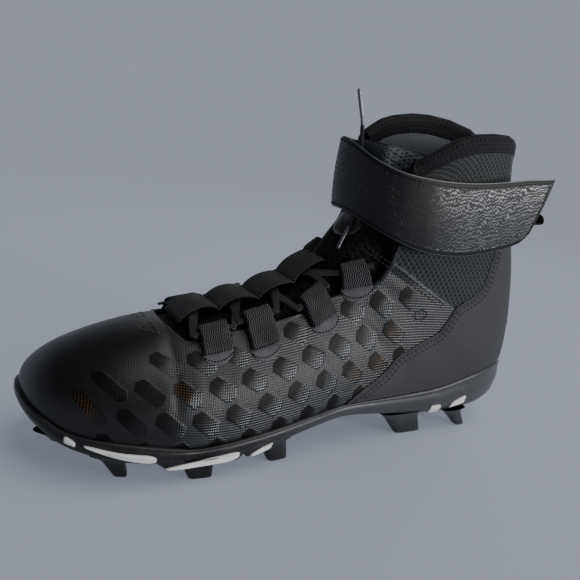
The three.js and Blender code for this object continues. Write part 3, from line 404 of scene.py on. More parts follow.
def band(name, centres, sides, ups, half_width, half_thickness, material, replaces=(),
         across=10, edge_round=0.45, scale=None):
    """A ribbon along centres: sides and ups are unit vectors; its section has rounded edges."""
    centres, sides, ups = (np.asarray(a, float) for a in (centres, sides, ups))
    s = np.linspace(-1, 1, across)
    profile = [(a, 1.0) for a in s[1:-1]]
    profile = [(-1, 0.45)] + profile + [(1, 0.45), (1, -0.45)] + [(a, -1.0) for a in s[1:-1][::-1]]
    profile += [(-1, -0.45)]
    profile = np.array(profile)
    wide = half_width * (scale if scale is not None else np.ones(len(centres)))
    points = (centres[:, None] + sides[:, None] * (profile[None, :, :1] * wide[:, None, None])
              + ups[:, None] * (profile[None, :, 1:] * half_thickness))
    rows, count = points.shape[:2]
    faces = grid_faces(rows, count, closed=True)
    faces.append(list(range(count))[::-1])
    faces.append([(rows - 1) * count + k for k in range(count)])
    along = arc(centres)
    uv = np.stack([np.repeat(along, count),
                   np.tile(profile[:, 0], rows) * np.repeat(wide, count)], 1)
    edge = (1 - np.abs(np.tile(profile[:, 0], rows))) * np.repeat(wide, count)
    return build(name, points.reshape(-1, 3), faces, [material], replaces, uv=uv,
                 fields={"edge": edge})


# ---------------------------------------------------------------- materials
class Paint:
    """One procedural material; its helpers take numbers or sockets."""

    def __init__(self, name, color=(0.02, 0.02, 0.02), roughness=0.5, **sockets):
        self.material = bpy.data.materials.new(name)
        self.material.use_nodes = True
        self.tree = self.material.node_tree
        self.tree.nodes.clear()
        self.shader = self.tree.nodes.new("ShaderNodeBsdfPrincipled")
        out = self.tree.nodes.new("ShaderNodeOutputMaterial")
        self.tree.links.new(self.shader.outputs[0], out.inputs[0])
        self.shader.inputs["Base Color"].default_value = (*color, 1)
        self.shader.inputs["Roughness"].default_value = roughness
        for key, value in sockets.items():
            self.shader.inputs[key.replace("_", " ")].default_value = value
        self.normal = None

    def put(self, socket, value):
        if isinstance(value, bpy.types.NodeSocket):
            self.tree.links.new(value, socket)
        elif isinstance(value, tuple):
            socket.default_value = (*value, 1) if len(value) == 3 else value
        else:
            socket.default_value = value

    def math(self, operation, a, b=0.0, c=0.0, clamp=False):
        node = self.tree.nodes.new("ShaderNodeMath")
        node.operation = operation
        node.use_clamp = clamp
        for socket, value in zip(node.inputs, (a, b, c)):
            self.put(socket, value)
        return node.outputs[0]

    def add(self, a, b):
        return self.math("ADD", a, b)

    def mul(self, a, b):
        return self.math("MULTIPLY", a, b)

    def sub(self, a, b):
        return self.math("SUBTRACT", a, b)

    def ramp(self, value, low, high, to_low=0.0, to_high=1.0):
        node = self.tree.nodes.new("ShaderNodeMapRange")
        node.interpolation_type = "SMOOTHSTEP"
        for socket, number in zip(node.inputs[:5], (value, low, high, to_low, to_high)):
            self.put(socket, number)
        return node.outputs[0]

    def mix(self, share, a, b):
        node = self.tree.nodes.new("ShaderNodeMix")
        node.data_type = "RGBA"
        self.put(node.inputs[0], share)
        self.put(node.inputs[6], a)
        self.put(node.inputs[7], b)
        return node.outputs[2]

    def blend(self, share, a, b):
        node = self.tree.nodes.new("ShaderNodeMix")
        node.data_type = "FLOAT"
        self.put(node.inputs[0], share)
        self.put(node.inputs[2], a)
        self.put(node.inputs[3], b)
        return node.outputs[0]

    def uv(self):
        node = self.tree.nodes.new("ShaderNodeUVMap")
        node.uv_map = "mm"
        parts = self.tree.nodes.new("ShaderNodeSeparateXYZ")
        self.tree.links.new(node.outputs[0], parts.inputs[0])
        return parts.outputs[0], parts.outputs[1]

    def place(self):
        node = self.tree.nodes.new("ShaderNodeTexCoord")
        return node.outputs["Object"]

    def parts(self, vector):
        parts = self.tree.nodes.new("ShaderNodeSeparateXYZ")
        self.tree.links.new(vector, parts.inputs[0])
        return parts.outputs

    def vector(self, x, y, z=0.0):
        node = self.tree.nodes.new("ShaderNodeCombineXYZ")
        for socket, value in zip(node.inputs, (x, y, z)):
            self.put(socket, value)
        return node.outputs[0]

    def field(self, name):
        node = self.tree.nodes.new("ShaderNodeAttribute")
        node.attribute_name = name
        return node.outputs["Fac"]

    def noise(self, scale, detail=3.0, vector=None, rough=0.5):
        node = self.tree.nodes.new("ShaderNodeTexNoise")
        node.inputs["Scale"].default_value = scale
        node.inputs["Detail"].default_value = detail
        node.inputs["Roughness"].default_value = rough
        self.put(node.inputs["Vector"], vector or self.place())
        return node.outputs["Fac"]

    def cells(self, scale, vector=None, feature="F1", randomness=1.0):
        node = self.tree.nodes.new("ShaderNodeTexVoronoi")
        node.feature = feature
        node.inputs["Scale"].default_value = scale
        node.inputs["Randomness"].default_value = randomness
        self.put(node.inputs["Vector"], vector or self.place())
        return node.outputs["Distance"]

    def wave(self, value, pitch):
        """1 at each multiple of the pitch, -1 halfway."""
        return self.math("COSINE", self.mul(value, 2 * math.pi / pitch))

    def lattice(self, x, y, pitch_x, pitch_y, squash=1.0):
        """Distance in mm from the nearest point of a staggered lattice."""
        level = self.math("DIVIDE", y, pitch_y)
        row = self.math("FLOOR", level)
        off = self.mul(self.math("FLOORED_MODULO", row, 2.0), 0.5)
        column = self.add(self.math("DIVIDE", x, pitch_x), off)
        dx = self.mul(self.sub(self.math("FRACT", column), 0.5), pitch_x)
        dy = self.mul(self.sub(self.math("FRACT", level), 0.5), pitch_y * squash)
        return self.math("SQRT", self.add(self.mul(dx, dx), self.mul(dy, dy)))

    def bump(self, height, distance, strength=1.0):
        node = self.tree.nodes.new("ShaderNodeBump")
        node.inputs["Distance"].default_value = distance
        node.inputs["Strength"].default_value = strength
        self.put(node.inputs["Height"], height)
        if self.normal is not None:
            self.tree.links.new(self.normal, node.inputs["Normal"])
        self.normal = node.outputs[0]
        return self.normal

    def color(self, value):
        self.put(self.shader.inputs["Base Color"], value)

    def rough(self, value):
        self.put(self.shader.inputs["Roughness"], value)

    def done(self):
        if self.normal is not None:
            self.tree.links.new(self.normal, self.shader.inputs["Normal"])
        return self.material


MM = 0.001


OVAL = (88.5, 99.2)      # small embossed oval behind the windows, in mm


def film_textile():
    p = Paint("film_textile", Specular_IOR_Level=0.45)
    x, y = p.uv()
    # leaning windows in two rectangular lattices that together make a staggered one
    best, along = -20.0, 0.0
    for first_x, first_y, front in ((151, 78, 287), (160, 93.4, 278.4)):
        dx = p.math("WRAP", p.sub(first_x, x), 9.1, -9.1)
        dy = p.math("WRAP", p.sub(first_y, y), 15.4, -15.4)
        a = p.add(p.mul(dx, 0.788), p.mul(dy, 0.616))
        b = p.math("ABSOLUTE", p.sub(p.mul(dy, 0.788), p.mul(dx, 0.616)))
        ends = p.sub(8.2, p.add(p.math("ABSOLUTE", a), p.mul(b, 0.5)))
        inside = p.math("MINIMUM", p.sub(4.1, b), p.mul(ends, 0.89))
        inside = p.math("MINIMUM", inside, p.sub(p.blend(p.math("GREATER_THAN", y, 101), front, 251.5), x))
        nearer = p.math("GREATER_THAN", inside, best)
        along = p.blend(nearer, along, a)
        best = p.math("MAXIMUM", best, inside)
    kept = p.mul(p.ramp(x, 95.0, 95.4), p.ramp(y, 116.7, 116.3))
    best = p.blend(kept, -20.0, best)
    window = p.ramp(best, -0.25, 0.25)
    film = p.ramp(p.field("film"), -0.4, 0.4)
    toe = p.ramp(p.field("toe"), -6, 10)
    one = p.wave(p.add(x, p.mul(y, 0.12)), 1.25)
    two = p.wave(p.sub(y, p.mul(x, 0.12)), 1.35)
    threads = p.math("MAXIMUM", p.mul(one, 0.6), two)
    knots = p.mul(p.ramp(one, -0.1, 0.9), p.ramp(two, -0.1, 0.9))
    base = p.mix(p.noise(55, 4), (0.005, 0.0054, 0.0058), (0.011, 0.0118, 0.0124))
    base = p.mix(p.mul(p.ramp(threads, 0.2, 1), 0.6), base, (0.040, 0.043, 0.045))
    base = p.mix(p.mul(toe, 0.8), base, (0.0034, 0.0033, 0.0033))
    # painted highlight: the thread knots in the windows are painted bright towards one end of each window, and not
    # on the toe
    painted_shine = p.mul(p.ramp(along, -2, 8), p.sub(1.0, toe))
    painted_highlight = p.mix(painted_shine, (0.008, 0.0082, 0.0085), (0.50, 0.52, 0.53))
    # painted glints: round the listed warm places the knots are painted bronze, and on the toe the knots show only
    # there
    dots = p.mix(p.ramp(p.field("warm_glint"), 0.35, 0.8), painted_highlight, (0.16, 0.075, 0.022))
    dim = p.mul(knots, p.blend(toe, 1.0, p.ramp(p.field("warm_glint"), 0.3, 0.8, 0.06, 1.0)))
    color = p.mix(window, base, p.mix(dim, (0.0008, 0.0008, 0.001), dots))
    # the mesh is laid from behind where the ankle turns to the heel
    _, across, height = p.parts(p.place())
    turned = p.tree.nodes.new("ShaderNodeNewGeometry").outputs["Normal"]
    behind = p.ramp(p.parts(turned)[0], -0.66, -0.74)
    hole = p.blend(behind, p.lattice(x, y, 3.4, 2.3), p.lattice(p.mul(across, 1000), p.mul(height, 1000), 3.4, 2.3))
    open_mesh = p.ramp(hole, 0.9, 1.35)
    mesh_color = p.mix(open_mesh, (0.0004, 0.0004, 0.0005), (0.040, 0.0455, 0.047))
    p.color(p.mix(film, mesh_color, color))
    dull = p.mul(window, p.ramp(p.add(along, p.mul(p.sub(p.noise(120, 2), 0.5), 9)), 4, -4))
    gloss = p.add(p.blend(window, 0.36, 0.26), p.mul(p.sub(p.noise(160, 3), 0.5), 0.16))
    gloss = p.blend(dull, gloss, 0.5)
    p.put(p.shader.inputs["Specular IOR Level"], p.blend(dull, 0.45, 0.17))
    p.rough(p.blend(film, 0.72, gloss))
    weave = p.mul(threads, p.blend(window, 0.6, p.blend(dull, 0.9, 0.12)))
    p.bump(p.blend(film, p.mul(open_mesh, 3.2), p.mul(weave, p.blend(toe, 1.0, 0.3))), 0.14 * MM)
    sunk = p.mul(p.ramp(best, -0.9, 0.6), p.mul(film, p.blend(toe, 1.0, 0.35)))
    p.bump(sunk, -0.3 * MM, 0.8)
    dx, dy = p.mul(p.sub(x, OVAL[0]), 0.6), p.sub(y, OVAL[1])
    oval = p.math("SQRT", p.add(p.mul(dx, dx), p.mul(dy, dy)))
    p.bump(p.mul(p.ramp(oval, 1.6, 2.3), p.ramp(oval, 3.2, 2.5)), 0.35 * MM)
    p.bump(p.noise(400, 4), 0.05 * MM)
    return p.done()


def lining_cloth():
    p = Paint("lining_cloth", Specular_IOR_Level=0.2)
    x, y = p.uv()
    d = p.lattice(x, y, 2.0, 1.2)
    hole = p.ramp(d, 0.25, 0.5)
    p.color(p.mix(hole, (0.014, 0.0145, 0.016), (0.20, 0.215, 0.24)))
    p.rough(0.8)
    p.bump(hole, 0.25 * MM)
    p.bump(p.noise(500, 3), 0.08 * MM)
    return p.done()


def knit_binding():
    p = Paint("knit_binding", Specular_IOR_Level=0.2)
    x, y = p.uv()
    rib = p.wave(x, 1.5)
    row = p.wave(p.add(y, p.mul(rib, 0.25)), 1.6)
    height = p.add(p.mul(rib, 0.6), p.mul(row, 0.5))
    tick = p.ramp(p.lattice(x, y, 3.2, 2.4), 0.95, 0.45)
    p.color(p.mix(p.mul(tick, 0.8), p.mix(p.noise(220, 3), (0.013, 0.0125, 0.0145), (0.026, 0.025, 0.029)),
                  (0.0012, 0.0012, 0.0013)))
    p.rough(0.8)
    p.bump(height, 0.22 * MM)
    return p.done()


def ribbed(name, dark=(0.0018, 0.0018, 0.002), light=(0.085, 0.0855, 0.087), pitch=1.1, across=True,
           slant=0.35, depth=0.3):
    p = Paint(name, Specular_IOR_Level=0.25)
    x, y = p.uv()
    along, side = (x, y) if across else (y, x)
    zig = p.math("PINGPONG", side, 1.6)
    rib = p.wave(p.add(along, p.mul(zig, slant)), pitch)
    yarn = p.wave(side, 0.8)
    height = p.add(rib, p.mul(yarn, 0.35))
    # painted shade: the colour goes from the dark tone down in the rib valleys to the light tone on the rib tops
    shade = p.ramp(height, -1.0, 1.2)
    cloud = p.ramp(p.noise(90, 3), 0.35, 0.7)
    p.color(p.mix(shade, dark, p.mix(cloud, light, tuple(1.5 * c for c in light))))
    p.rough(p.blend(shade, 0.85, 0.6))
    p.bump(height, depth * 0.5 * MM)
    return p.done()


def satin_rubber():
    p = Paint("satin_rubber", Specular_IOR_Level=0.32)
    z = p.parts(p.place())[2]
    # the sole's colour is lighter grey towards the heel and higher up its wall, and its dust patches are thinner
    # near the bottom
    low = p.ramp(z, 0.010, 0.0)
    dust = p.mul(p.ramp(p.noise(70, 5, rough=0.65), 0.42, 0.75), p.add(0.5, p.mul(low, -0.3)))
    x = p.parts(p.place())[0]
    heel_lighter = p.mul(p.ramp(x, 0.08, -0.02), p.ramp(z, 0.008, 0.018, 0.35, 1.0))
    clean = p.mix(heel_lighter, (0.009, 0.009, 0.0095), (0.055, 0.0555, 0.058))
    p.color(p.mix(p.mul(dust, p.blend(heel_lighter, 0.35, 0.7)), clean, (0.12, 0.12, 0.122)))
    p.rough(p.add(p.blend(dust, 0.33, 0.62), p.mul(p.sub(p.noise(300, 3), 0.5), 0.15)))
    p.bump(p.noise(900, 3), 0.04 * MM)
    p.bump(p.ramp(p.noise(45, 5, rough=0.6), 0.55, 0.7), 0.06 * MM)
    return p.done()


def speckled_insert():
    p = Paint("speckled_insert")
    x, y = p.uv()
    specks = p.ramp(p.cells(900), 0.28, 0.16)
    dirt = p.ramp(p.noise(160, 5, rough=0.7), 0.5, 0.72)
    hatch = p.mul(p.ramp(p.wave(p.add(x, y), 1.3), 0.1, 0.8), p.field("hatch"))
    rim = p.ramp(p.field("edge"), 0.9, 0.1)
    color = p.mix(p.noise(60, 3), (0.93, 0.92, 0.89), (0.87, 0.85, 0.81))
    color = p.mix(p.mul(specks, 0.45), color, (0.35, 0.32, 0.28))
    color = p.mix(p.mul(dirt, 0.4), color, (0.45, 0.41, 0.36))
    color = p.mix(p.mul(hatch, 0.35), color, (0.24, 0.21, 0.18))
    p.color(p.mix(p.mul(rim, 0.6), color, (0.10, 0.09, 0.08)))
    p.rough(0.55)
    p.bump(p.noise(700, 4), 0.12 * MM)
    p.bump(hatch, -0.1 * MM)
    return p.done()


def counter_skin():
    p = Paint("counter_skin", Specular_IOR_Level=0.22)
    cloud = p.noise(28, 5, rough=0.6)
    scuff = p.ramp(p.noise(60, 6, rough=0.7), 0.62, 0.75)
    color = p.mix(cloud, (0.040, 0.040, 0.042), (0.052, 0.0522, 0.055))
    color = p.mix(p.mul(scuff, 0.3), color, (0.07, 0.07, 0.072))
    p.color(color)
    p.rough(p.blend(p.ramp(cloud, 0.3, 0.7), 0.5, 0.62))
    p.bump(p.cells(1500), 0.05 * MM)
    p.bump(p.noise(140, 4), 0.12 * MM)
    groove = p.mul(p.ramp(p.field("edge"), 0.6, 1.2), p.ramp(p.field("edge"), 1.9, 1.3))
    p.bump(groove, -0.4 * MM)
    return p.done()


def strap_skin():
    """Dark coated leather with a jagged ripple pressed into it; away from the front its ridges are painted light
    grey, a painted highlight.
    """
    p = Paint("strap_skin", Specular_IOR_Level=0.4)
    x, y = p.uv()
    # painted highlight: the ridges are painted light grey away from the front end and stay near-black at the front
    painted_highlight = p.ramp(p.parts(p.place())[0], -0.034, -0.072)
    jag = p.mul(p.math("PINGPONG", p.add(x, p.mul(y, 0.6)), 1.1), 0.85)
    flow = p.noise(0.16, 3, p.vector(p.mul(x, 0.7), p.mul(y, 0.55)))
    lines = p.wave(p.add(p.add(y, jag), p.mul(flow, 11.0)), 2.1)
    strokes = p.noise(0.34, 2, p.vector(p.mul(x, 0.45), p.mul(y, 1.3)))
    lines = p.add(lines, p.mul(p.sub(strokes, 0.5), 3.2))
    edge = p.ramp(p.field("edge"), 2.4, 3.4)
    ridge = p.mul(p.ramp(lines, -0.1, 0.6), edge)
    color = p.mix(p.noise(40, 4), (0.0030, 0.0030, 0.0034), (0.0055, 0.0055, 0.0062))
    color = p.mix(p.mul(ridge, p.blend(painted_highlight, 0.03, 0.9)), color, (0.155, 0.16, 0.168))
    raw = p.ramp(p.field("edge"), 0.5, 0.25)
    p.color(p.mix(p.mul(raw, 0.8), color, (0.30, 0.30, 0.305)))
    p.rough(p.blend(ridge, 0.55, 0.3))
    p.bump(ridge, 0.4 * MM)
    p.bump(p.cells(1300), 0.04 * MM)
    return p.done()


def lace_weave():
    p = Paint("lace_weave", Specular_IOR_Level=0.25)
    x, y = p.uv()
    one = p.wave(p.add(x, y), 1.4)
    two = p.wave(p.sub(x, y), 1.4)
    height = p.math("MAXIMUM", one, two)
    # painted shade: the colour is dark between the raised yarns and light on them
    p.color(p.mix(p.ramp(height, -0.2, 1), (0.004, 0.004, 0.0042), (0.045, 0.0455, 0.048)))
    p.rough(0.7)
    p.bump(height, 0.16 * MM)
    return p.done()


def tongue_mesh():
    p = Paint("tongue_mesh", Specular_IOR_Level=0.2)
    x, y = p.uv()
    d = p.lattice(x, y, 3.6, 2.4)
    solid = p.ramp(d, 0.8, 1.3)
    yarn = p.mix(p.noise(120, 3), (0.0035, 0.0035, 0.0038), (0.008, 0.008, 0.0087))
    mesh = p.mix(solid, (0.0003, 0.0003, 0.0004), yarn)
    # its padded top is covered with the lining's cloth
    cloth = p.mix(p.ramp(p.lattice(x, y, 2.0, 1.2), 0.25, 0.5), (0.008, 0.008, 0.009), (0.10, 0.107, 0.12))
    top = p.ramp(p.parts(p.place())[2], 0.150, 0.156)
    p.color(p.mix(top, mesh, cloth))
    p.rough(0.8)
    p.bump(solid, 0.5 * MM)
    p.bump(p.noise(600, 3), 0.08 * MM)
    return p.done()


def plain(name, color, roughness, grain=600, depth=0.05, spread=1.5, **sockets):
    p = Paint(name, roughness=roughness, **sockets)
    p.color(p.mix(p.noise(90, 4), color, tuple(min(1, spread * c) for c in color)))
    p.rough(p.add(roughness, p.mul(p.sub(p.noise(200, 3), 0.5), 0.12)))
    p.bump(p.noise(grain, 3), depth * MM)
    return p.done()


# ---------------------------------------------------------------- cords
LOOP_ROWS = np.array([[8.57, 0.082, 0.118, 0], [9.90, 0.076, 0.130, 0],
                      [12.05, 0.087, 0.134, -5], [15.20, 0.098, 0.124, 34]])
WEB = 1.3
CORD, AGLET = 2.4, 2.0


def tube(name, path, radius_at, material, replaces, sides=16):
    path = np.asarray(path, float)
    tangent = unit(np.gradient(path, axis=0))
    side = unit(np.cross(tangent, np.array([0, 1.0, 0.05])))
    up = np.cross(side, tangent)
    angle = np.linspace(0, 2 * np.pi, sides, endpoint=False)
    radius = radius_at(np.linspace(0, 1, len(path)))
    points = path[:, None] + radius[:, None, None] * (
        np.cos(angle)[None, :, None] * side[:, None] + np.sin(angle)[None, :, None] * up[:, None])
    faces = grid_faces(len(path), sides, closed=True)
    faces.append(list(range(sides))[::-1])
    faces.append([(len(path) - 1) * sides + k for k in range(sides)])
    uv = np.stack([np.repeat(arc(path), sides), np.tile(angle * CORD / 2, len(path))], 1)
    return build(name, points.reshape(-1, 3), faces, [material], replaces, uv=uv)


def make_cords():
    weave = lace_weave()
    glossy = plain("aglet_plastic", (0.075, 0.077, 0.082), 0.28, grain=300, depth=0.02, spread=1.25,
                   Coat_Weight=0.3, Coat_Roughness=0.15)
    over = lambda row, v, height: on_last(row / ROWS, v, height)
    free = [over(20, 0.492, -1), over(21.2, 0.492, -1), over(22.4, 0.492, -0.9), over(23.6, 0.492, 0.6)]
    y = free[3][1]
    free += [np.array([127.5, y, 181]), np.array([130.5, y, 191]), np.array([133.5, y, 200.5])]
    tucked = [over(21.6, 0.475, -1), over(20.2, 0.47, -1), over(18.9, 0.466, -0.9),
              over(17.4, 0.4592, -0.4), over(16.5, 0.455, 0), over(15.6, 0.45, 0.3)]
    for name, points, inside, aglet in (("lace_end_free", free, 4, 20.6), ("lace_end_tucked", tucked, 3, 15)):
        line = resample(curve_through(points), pitch=0.7)
        total = arc(line)[-1]
        start = total - aglet
        cover = line[arc(line) >= start]
        core = line[:-2]
        cloth = lambda t: np.where(t * total < start + 1, CORD / 2 * 0.98, AGLET / 2 * 0.82)
        cord = tube(name + "_cord", core, cloth, weave, (name,))
        tip = lambda t: AGLET / 2 * (1 - 0.35 * smooth(0.94, 1, t)) * (1 + 0.1 * smooth(0.05, 0, t))
        cap = tube(name + "_tip", cover, tip, glossy, (name + "_aglet",))


make_cords()


# ---------------------------------------------------------------- upper
SPLIT = 15 / 28
RIM_BEAD = 2.6
HALF_COLUMNS = 64


def find_collar(side, vp):
    """Where each column of one side meets the collar's edge."""
    low, high = np.full(len(vp), SPLIT), np.full(len(vp), 0.998)
    for _ in range(36):
        middle = (low + high) / 2
        half = vp * (0.5 - throat_half(middle))
        point = last_point(middle, half if side > 0 else 1 - half)
        under = point[:, 2] < collar_height(point) - RIM_BEAD
        low, high = np.where(under, middle, low), np.where(under, high, middle)
    return low


COLLAR_VP = np.linspace(0, 1, 120)
COLLAR_END = {side: find_collar(side, COLLAR_VP) for side in (1, -1)}


def skin_uv(t, w):
    """u and v of a place of the upper: t runs from toe to collar, w from the medial edge of the
    throat (-1) round the bottom and heel (0) to the lateral edge (1)."""
    t, w = np.broadcast_arrays(np.asarray(t, float), np.asarray(w, float))
    vp = np.abs(w)
    end = np.where(w >= 0, np.interp(vp, COLLAR_VP, COLLAR_END[1]),
                   np.interp(vp, COLLAR_VP, COLLAR_END[-1]))
    u = np.where(t > SPLIT, SPLIT + (t - SPLIT) / (1 - SPLIT) * (end - SPLIT), t)
    half = vp * (0.5 - throat_half(u))
    return u, np.where(w >= 0, half, 1 - half)


def per_row(u, v):
    u = np.clip(u, 2 * STEP, 1 - 2 * STEP)
    return np.linalg.norm(last_point(u + STEP, v) - last_point(u - STEP, v), axis=-1) / (2 * STEP * ROWS)


def per_v(u, v):
    return np.linalg.norm(last_point(u, v + STEP) - last_point(u, v - STEP), axis=-1) / (2 * STEP)


def trough(u, v, row_from, v_from, row_to, v_to, width, depth):
    """A soft crease on the lateral half from one place to another, mirrored on the medial half."""
    v = np.where(v > 0.5, 1 - v, v)
    here = np.stack([u * ROWS * per_row(u, v), v * per_v(u, v)], -1)
    scale = np.stack([per_row(u, v), per_v(u, v)], -1)
    a = np.array([row_from, v_from]) * scale
    b = np.array([row_to, v_to]) * scale
    edge = b - a
    t = np.clip(((here - a) * edge).sum(-1) / np.maximum((edge ** 2).sum(-1), 1e-6), 0, 1)
    miss = np.linalg.norm(here - a - t[..., None] * edge, axis=-1)
    return -depth * np.exp(-(miss / width) ** 2) * (1 - (2 * t - 1) ** 4 * 0.8)


# Creases: row and v of both ends, width and depth in mm
CREASES = [
    (7.45, 0.44, 7.40, 0.29, 3.2, 0.9), (8.75, 0.345, 8.45, 0.255, 3.4, 0.45),
    (11.6, 0.345, 12.6, 0.250, 3.4, 0.5), (13.3, 0.365, 14.0, 0.290, 3.2, 0.5),
    (19.6, 0.420, 20.6, 0.300, 3.4, 1.2), (21.4, 0.430, 22.2, 0.300, 3.2, 0.9),
    (16.6, 0.395, 17.4, 0.330, 2.8, 0.6), (24.3, 0.40, 24.9, 0.29, 3.0, 0.7),
]
RIDGES = [(20.0, 0.38, 21.1, 0.27, 4.2, -0.8), (7.9, 0.43, 7.95, 0.30, 3.6, -0.5)]


def quarter_edge(u, v):
    """Mm from the quarter's top edge, positive on the film."""
    v = np.where(v > 0.5, 1 - v, v)
    edge = 18.24 - 5.9 * (v - 0.274)
    return (edge - u * ROWS) * per_row(u, v)


def relief(u, v):
    lift = sum(trough(u, v, *c) for c in CREASES) + sum(trough(u, v, *c) for c in RIDGES)
    puff = smooth(2, 14, -quarter_edge(u, v))
    return lift + 0.7 * puff + 0.35 * smooth(0.6, -0.6, -quarter_edge(u, v)) * (1 - puff)


# Places of the painted bronze glints on the window knots: x and height round the girth, in mm
WARM_GLINT_PLACES = ((281, 78), (236, 94), (104, 95), (129, 78), (112, 79))


def skin_point(t, w, offset, with_relief=True):
    u, v = skin_uv(t, w)
    extra = relief(u, v) * smooth(0.02, 0.10, u) if with_relief else 0
    return on_last(u, v, offset + extra)


def girth(points):
    steps = np.zeros(points.shape[:2])
    steps[:, 1:] = np.hypot(*np.moveaxis(np.diff(points[..., 1:], axis=1), -1, 0))
    return np.cumsum(steps, axis=1)


def make_upper():
    t = np.concatenate([np.linspace(0.0, 7.3, 74)[:-1] / ROWS, np.linspace(7.3, 8.2, 24)[:-1] / ROWS,
                        np.linspace(8.2, 28, 150) / ROWS])
    w = np.linspace(-1, 1, 2 * HALF_COLUMNS + 1)
    rows, columns = len(t), len(w)
    tt, ww = np.meshgrid(t, w, indexing="ij")
    u, v = skin_uv(tt, ww)
    outer = skin_point(tt, ww, 0.0)
    plain_point = on_last(u, v)
    inner = on_last(u, v, -wall_at(plain_point[..., 2])) + 0.0
    middle = HALF_COLUMNS
    around = girth(outer)
    around = np.abs(around - around[:, middle:middle + 1]) + outer[:, middle:middle + 1, 2]
    uv = np.stack([outer[..., 0], around], -1)
    # painted glints: a bronze share round each listed place
    warm_glint = sum(np.exp(-((outer[..., 0] - a) ** 2 + (around - b) ** 2) / 60) for a, b in WARM_GLINT_PLACES)
    size = rows * columns
    quads = np.array(grid_faces(rows, columns))
    joined = np.arange(2 * size)
    open_from = int(np.argmax(t > FRONT))
    for i in range(open_from):
        for base in (0, size):
            joined[base + i * columns + columns - 1] = base + i * columns
    for base in (0, size):
        joined[base:base + columns] = base
    points = [outer.reshape(-1, 3), inner.reshape(-1, 3)]
    faces, slots = [], []

    def keep(face, slot):
        face = [int(joined[k]) if k < 2 * size else int(k) for k in face]
        face = [k for n, k in enumerate(face) if k != face[n - 1]]
        if len(face) > 2:
            faces.append(face)
            slots.append(slot)

    for face in quads:
        keep(face, 0)
        keep(face[::-1] + size, 1)
    count = 2 * size
    # rounded edges: at the collar all round, and along both sides of the throat
    def edge_strip(outside, inside, out_index, in_index, toward, steps, slot):
        nonlocal count
        centre = (outside + inside) / 2
        spoke = (outside - inside) / 2
        reach = np.linalg.norm(spoke, axis=-1, keepdims=True)
        line = [out_index]
        for k in range(1, steps):
            angle = math.pi * k / steps
            ring = centre + spoke * math.cos(angle) + toward * reach * math.sin(angle)
            points.append(ring)
            line.append(np.arange(count, count + len(ring)))
            count += len(ring)
        line.append(in_index)
        for a, b in zip(line, line[1:]):
            for n in range(len(outside) - 1):
                keep([a[n], a[n + 1], b[n + 1], b[n]], slot)

    top = rows - 1
    rise = unit(outer[top] - outer[top - 1])
    across = np.arange(columns)
    edge_strip(outer[top], inner[top], top * columns + across, size + top * columns + across,
               rise, 8, 2)
    for column, inward in ((0, 1), (columns - 1, columns - 2)):
        line = np.arange(open_from - 1, rows)
        toward = unit(outer[line, column] - outer[line, inward])
        edge_strip(outer[line, column], inner[line, column], line * columns + column,
                   size + line * columns + column, toward * 0.8, 5, 2)
    points = np.concatenate(points)
    extra = len(points) - 2 * size
    every_uv = np.concatenate([uv.reshape(-1, 2), uv.reshape(-1, 2), np.zeros((extra, 2))])
    every_uv[2 * size:] = points[2 * size:, [0, 2]]
    fill = lambda a, rest: np.concatenate([a.ravel(), a.ravel(), np.full(extra, rest)])
    film = quarter_edge(u, v)
    fields = {
        "film": fill(film, -5.0),
        "warm_glint": fill(warm_glint, 0.0),
        "toe": fill(236 - plain_point[..., 0], 50.0) * -1,
    }
    build("upper_skin", points, faces, [film_textile(), lining_cloth(), knit_binding()],
          ("upper",), uv=every_uv, fields=fields, face_slots=slots)


make_upper()


def make_binding():
    """Knit binding folded over the collar's edge."""
    w = np.linspace(-1, 1, 420)
    deep_out, deep_in, bead = 6.0, 7.5, 8
    u_top, v_top = skin_uv(np.ones_like(w), w)
    rate = per_row(u_top, v_top) * ROWS * (1 - SPLIT) / (1 - SPLIT)
    rings, across = [], []
    span = (skin_uv(1.0, w)[0] - SPLIT) / (1 - SPLIT)
    for down in np.linspace(deep_out, 0.0, 7):
        t = 1 - down / (rate * span)
        lift = 0.65 * math.sqrt(min(1.0, (deep_out - down) / 1.2))
        rings.append(skin_point(t, w, 0.05 + lift))
        across.append(down)
    top_out = rings[-1]
    wall = wall_at(last_point(u_top, v_top)[:, 2])
    top_in = on_last(u_top, v_top, -wall - 0.7)
    rise = unit(rings[-1] - rings[-2])
    for k in range(1, bead):
        angle = math.pi * k / bead
        centre, spoke = (top_out + top_in) / 2, (top_out - top_in) / 2
        reach = np.linalg.norm(spoke, axis=-1, keepdims=True)
        rings.append(centre + spoke * math.cos(angle) + rise * reach * math.sin(angle))
        across.append(-k * 1.3)
    for down in np.linspace(0, deep_in, 7):
        t = 1 - down / (rate * span)
        u, v = skin_uv(t, w)
        lift = 0.65 * math.sqrt(min(1.0, (deep_in - down) / 1.2))
        rings.append(on_last(u, v, -wall_at(last_point(u, v)[:, 2]) - 0.05 - lift))
        across.append(-bead * 1.3 - down)
    rings = np.array(rings)
    along = arc(top_out)
    uv = np.stack(np.broadcast_arrays(along[None, :], np.array(across)[:, None]), -1)
    build("collar_binding", rings.reshape(-1, 3), grid_faces(*rings.shape[:2]), [knit_binding()],
          uv=uv.reshape(-1, 2))


make_binding()


# ---------------------------------------------------------------- tongue and insole
def tongue_top(u, v):
    half = throat_half(u)
    middle = 1 - smooth(0.5, 0.86, np.where(half > 0, np.abs(v - 0.5) / np.maximum(half, 1e-6), 1))
    flush = -0.9 - 1.6 * smooth(0.55, 0.66, u)
    rise = middle * smooth(FRONT + 0.012, FRONT + 0.05, u)
    return mix(-wall_at(last_point(u, v)[..., 2]) - 0.75, flush, rise)


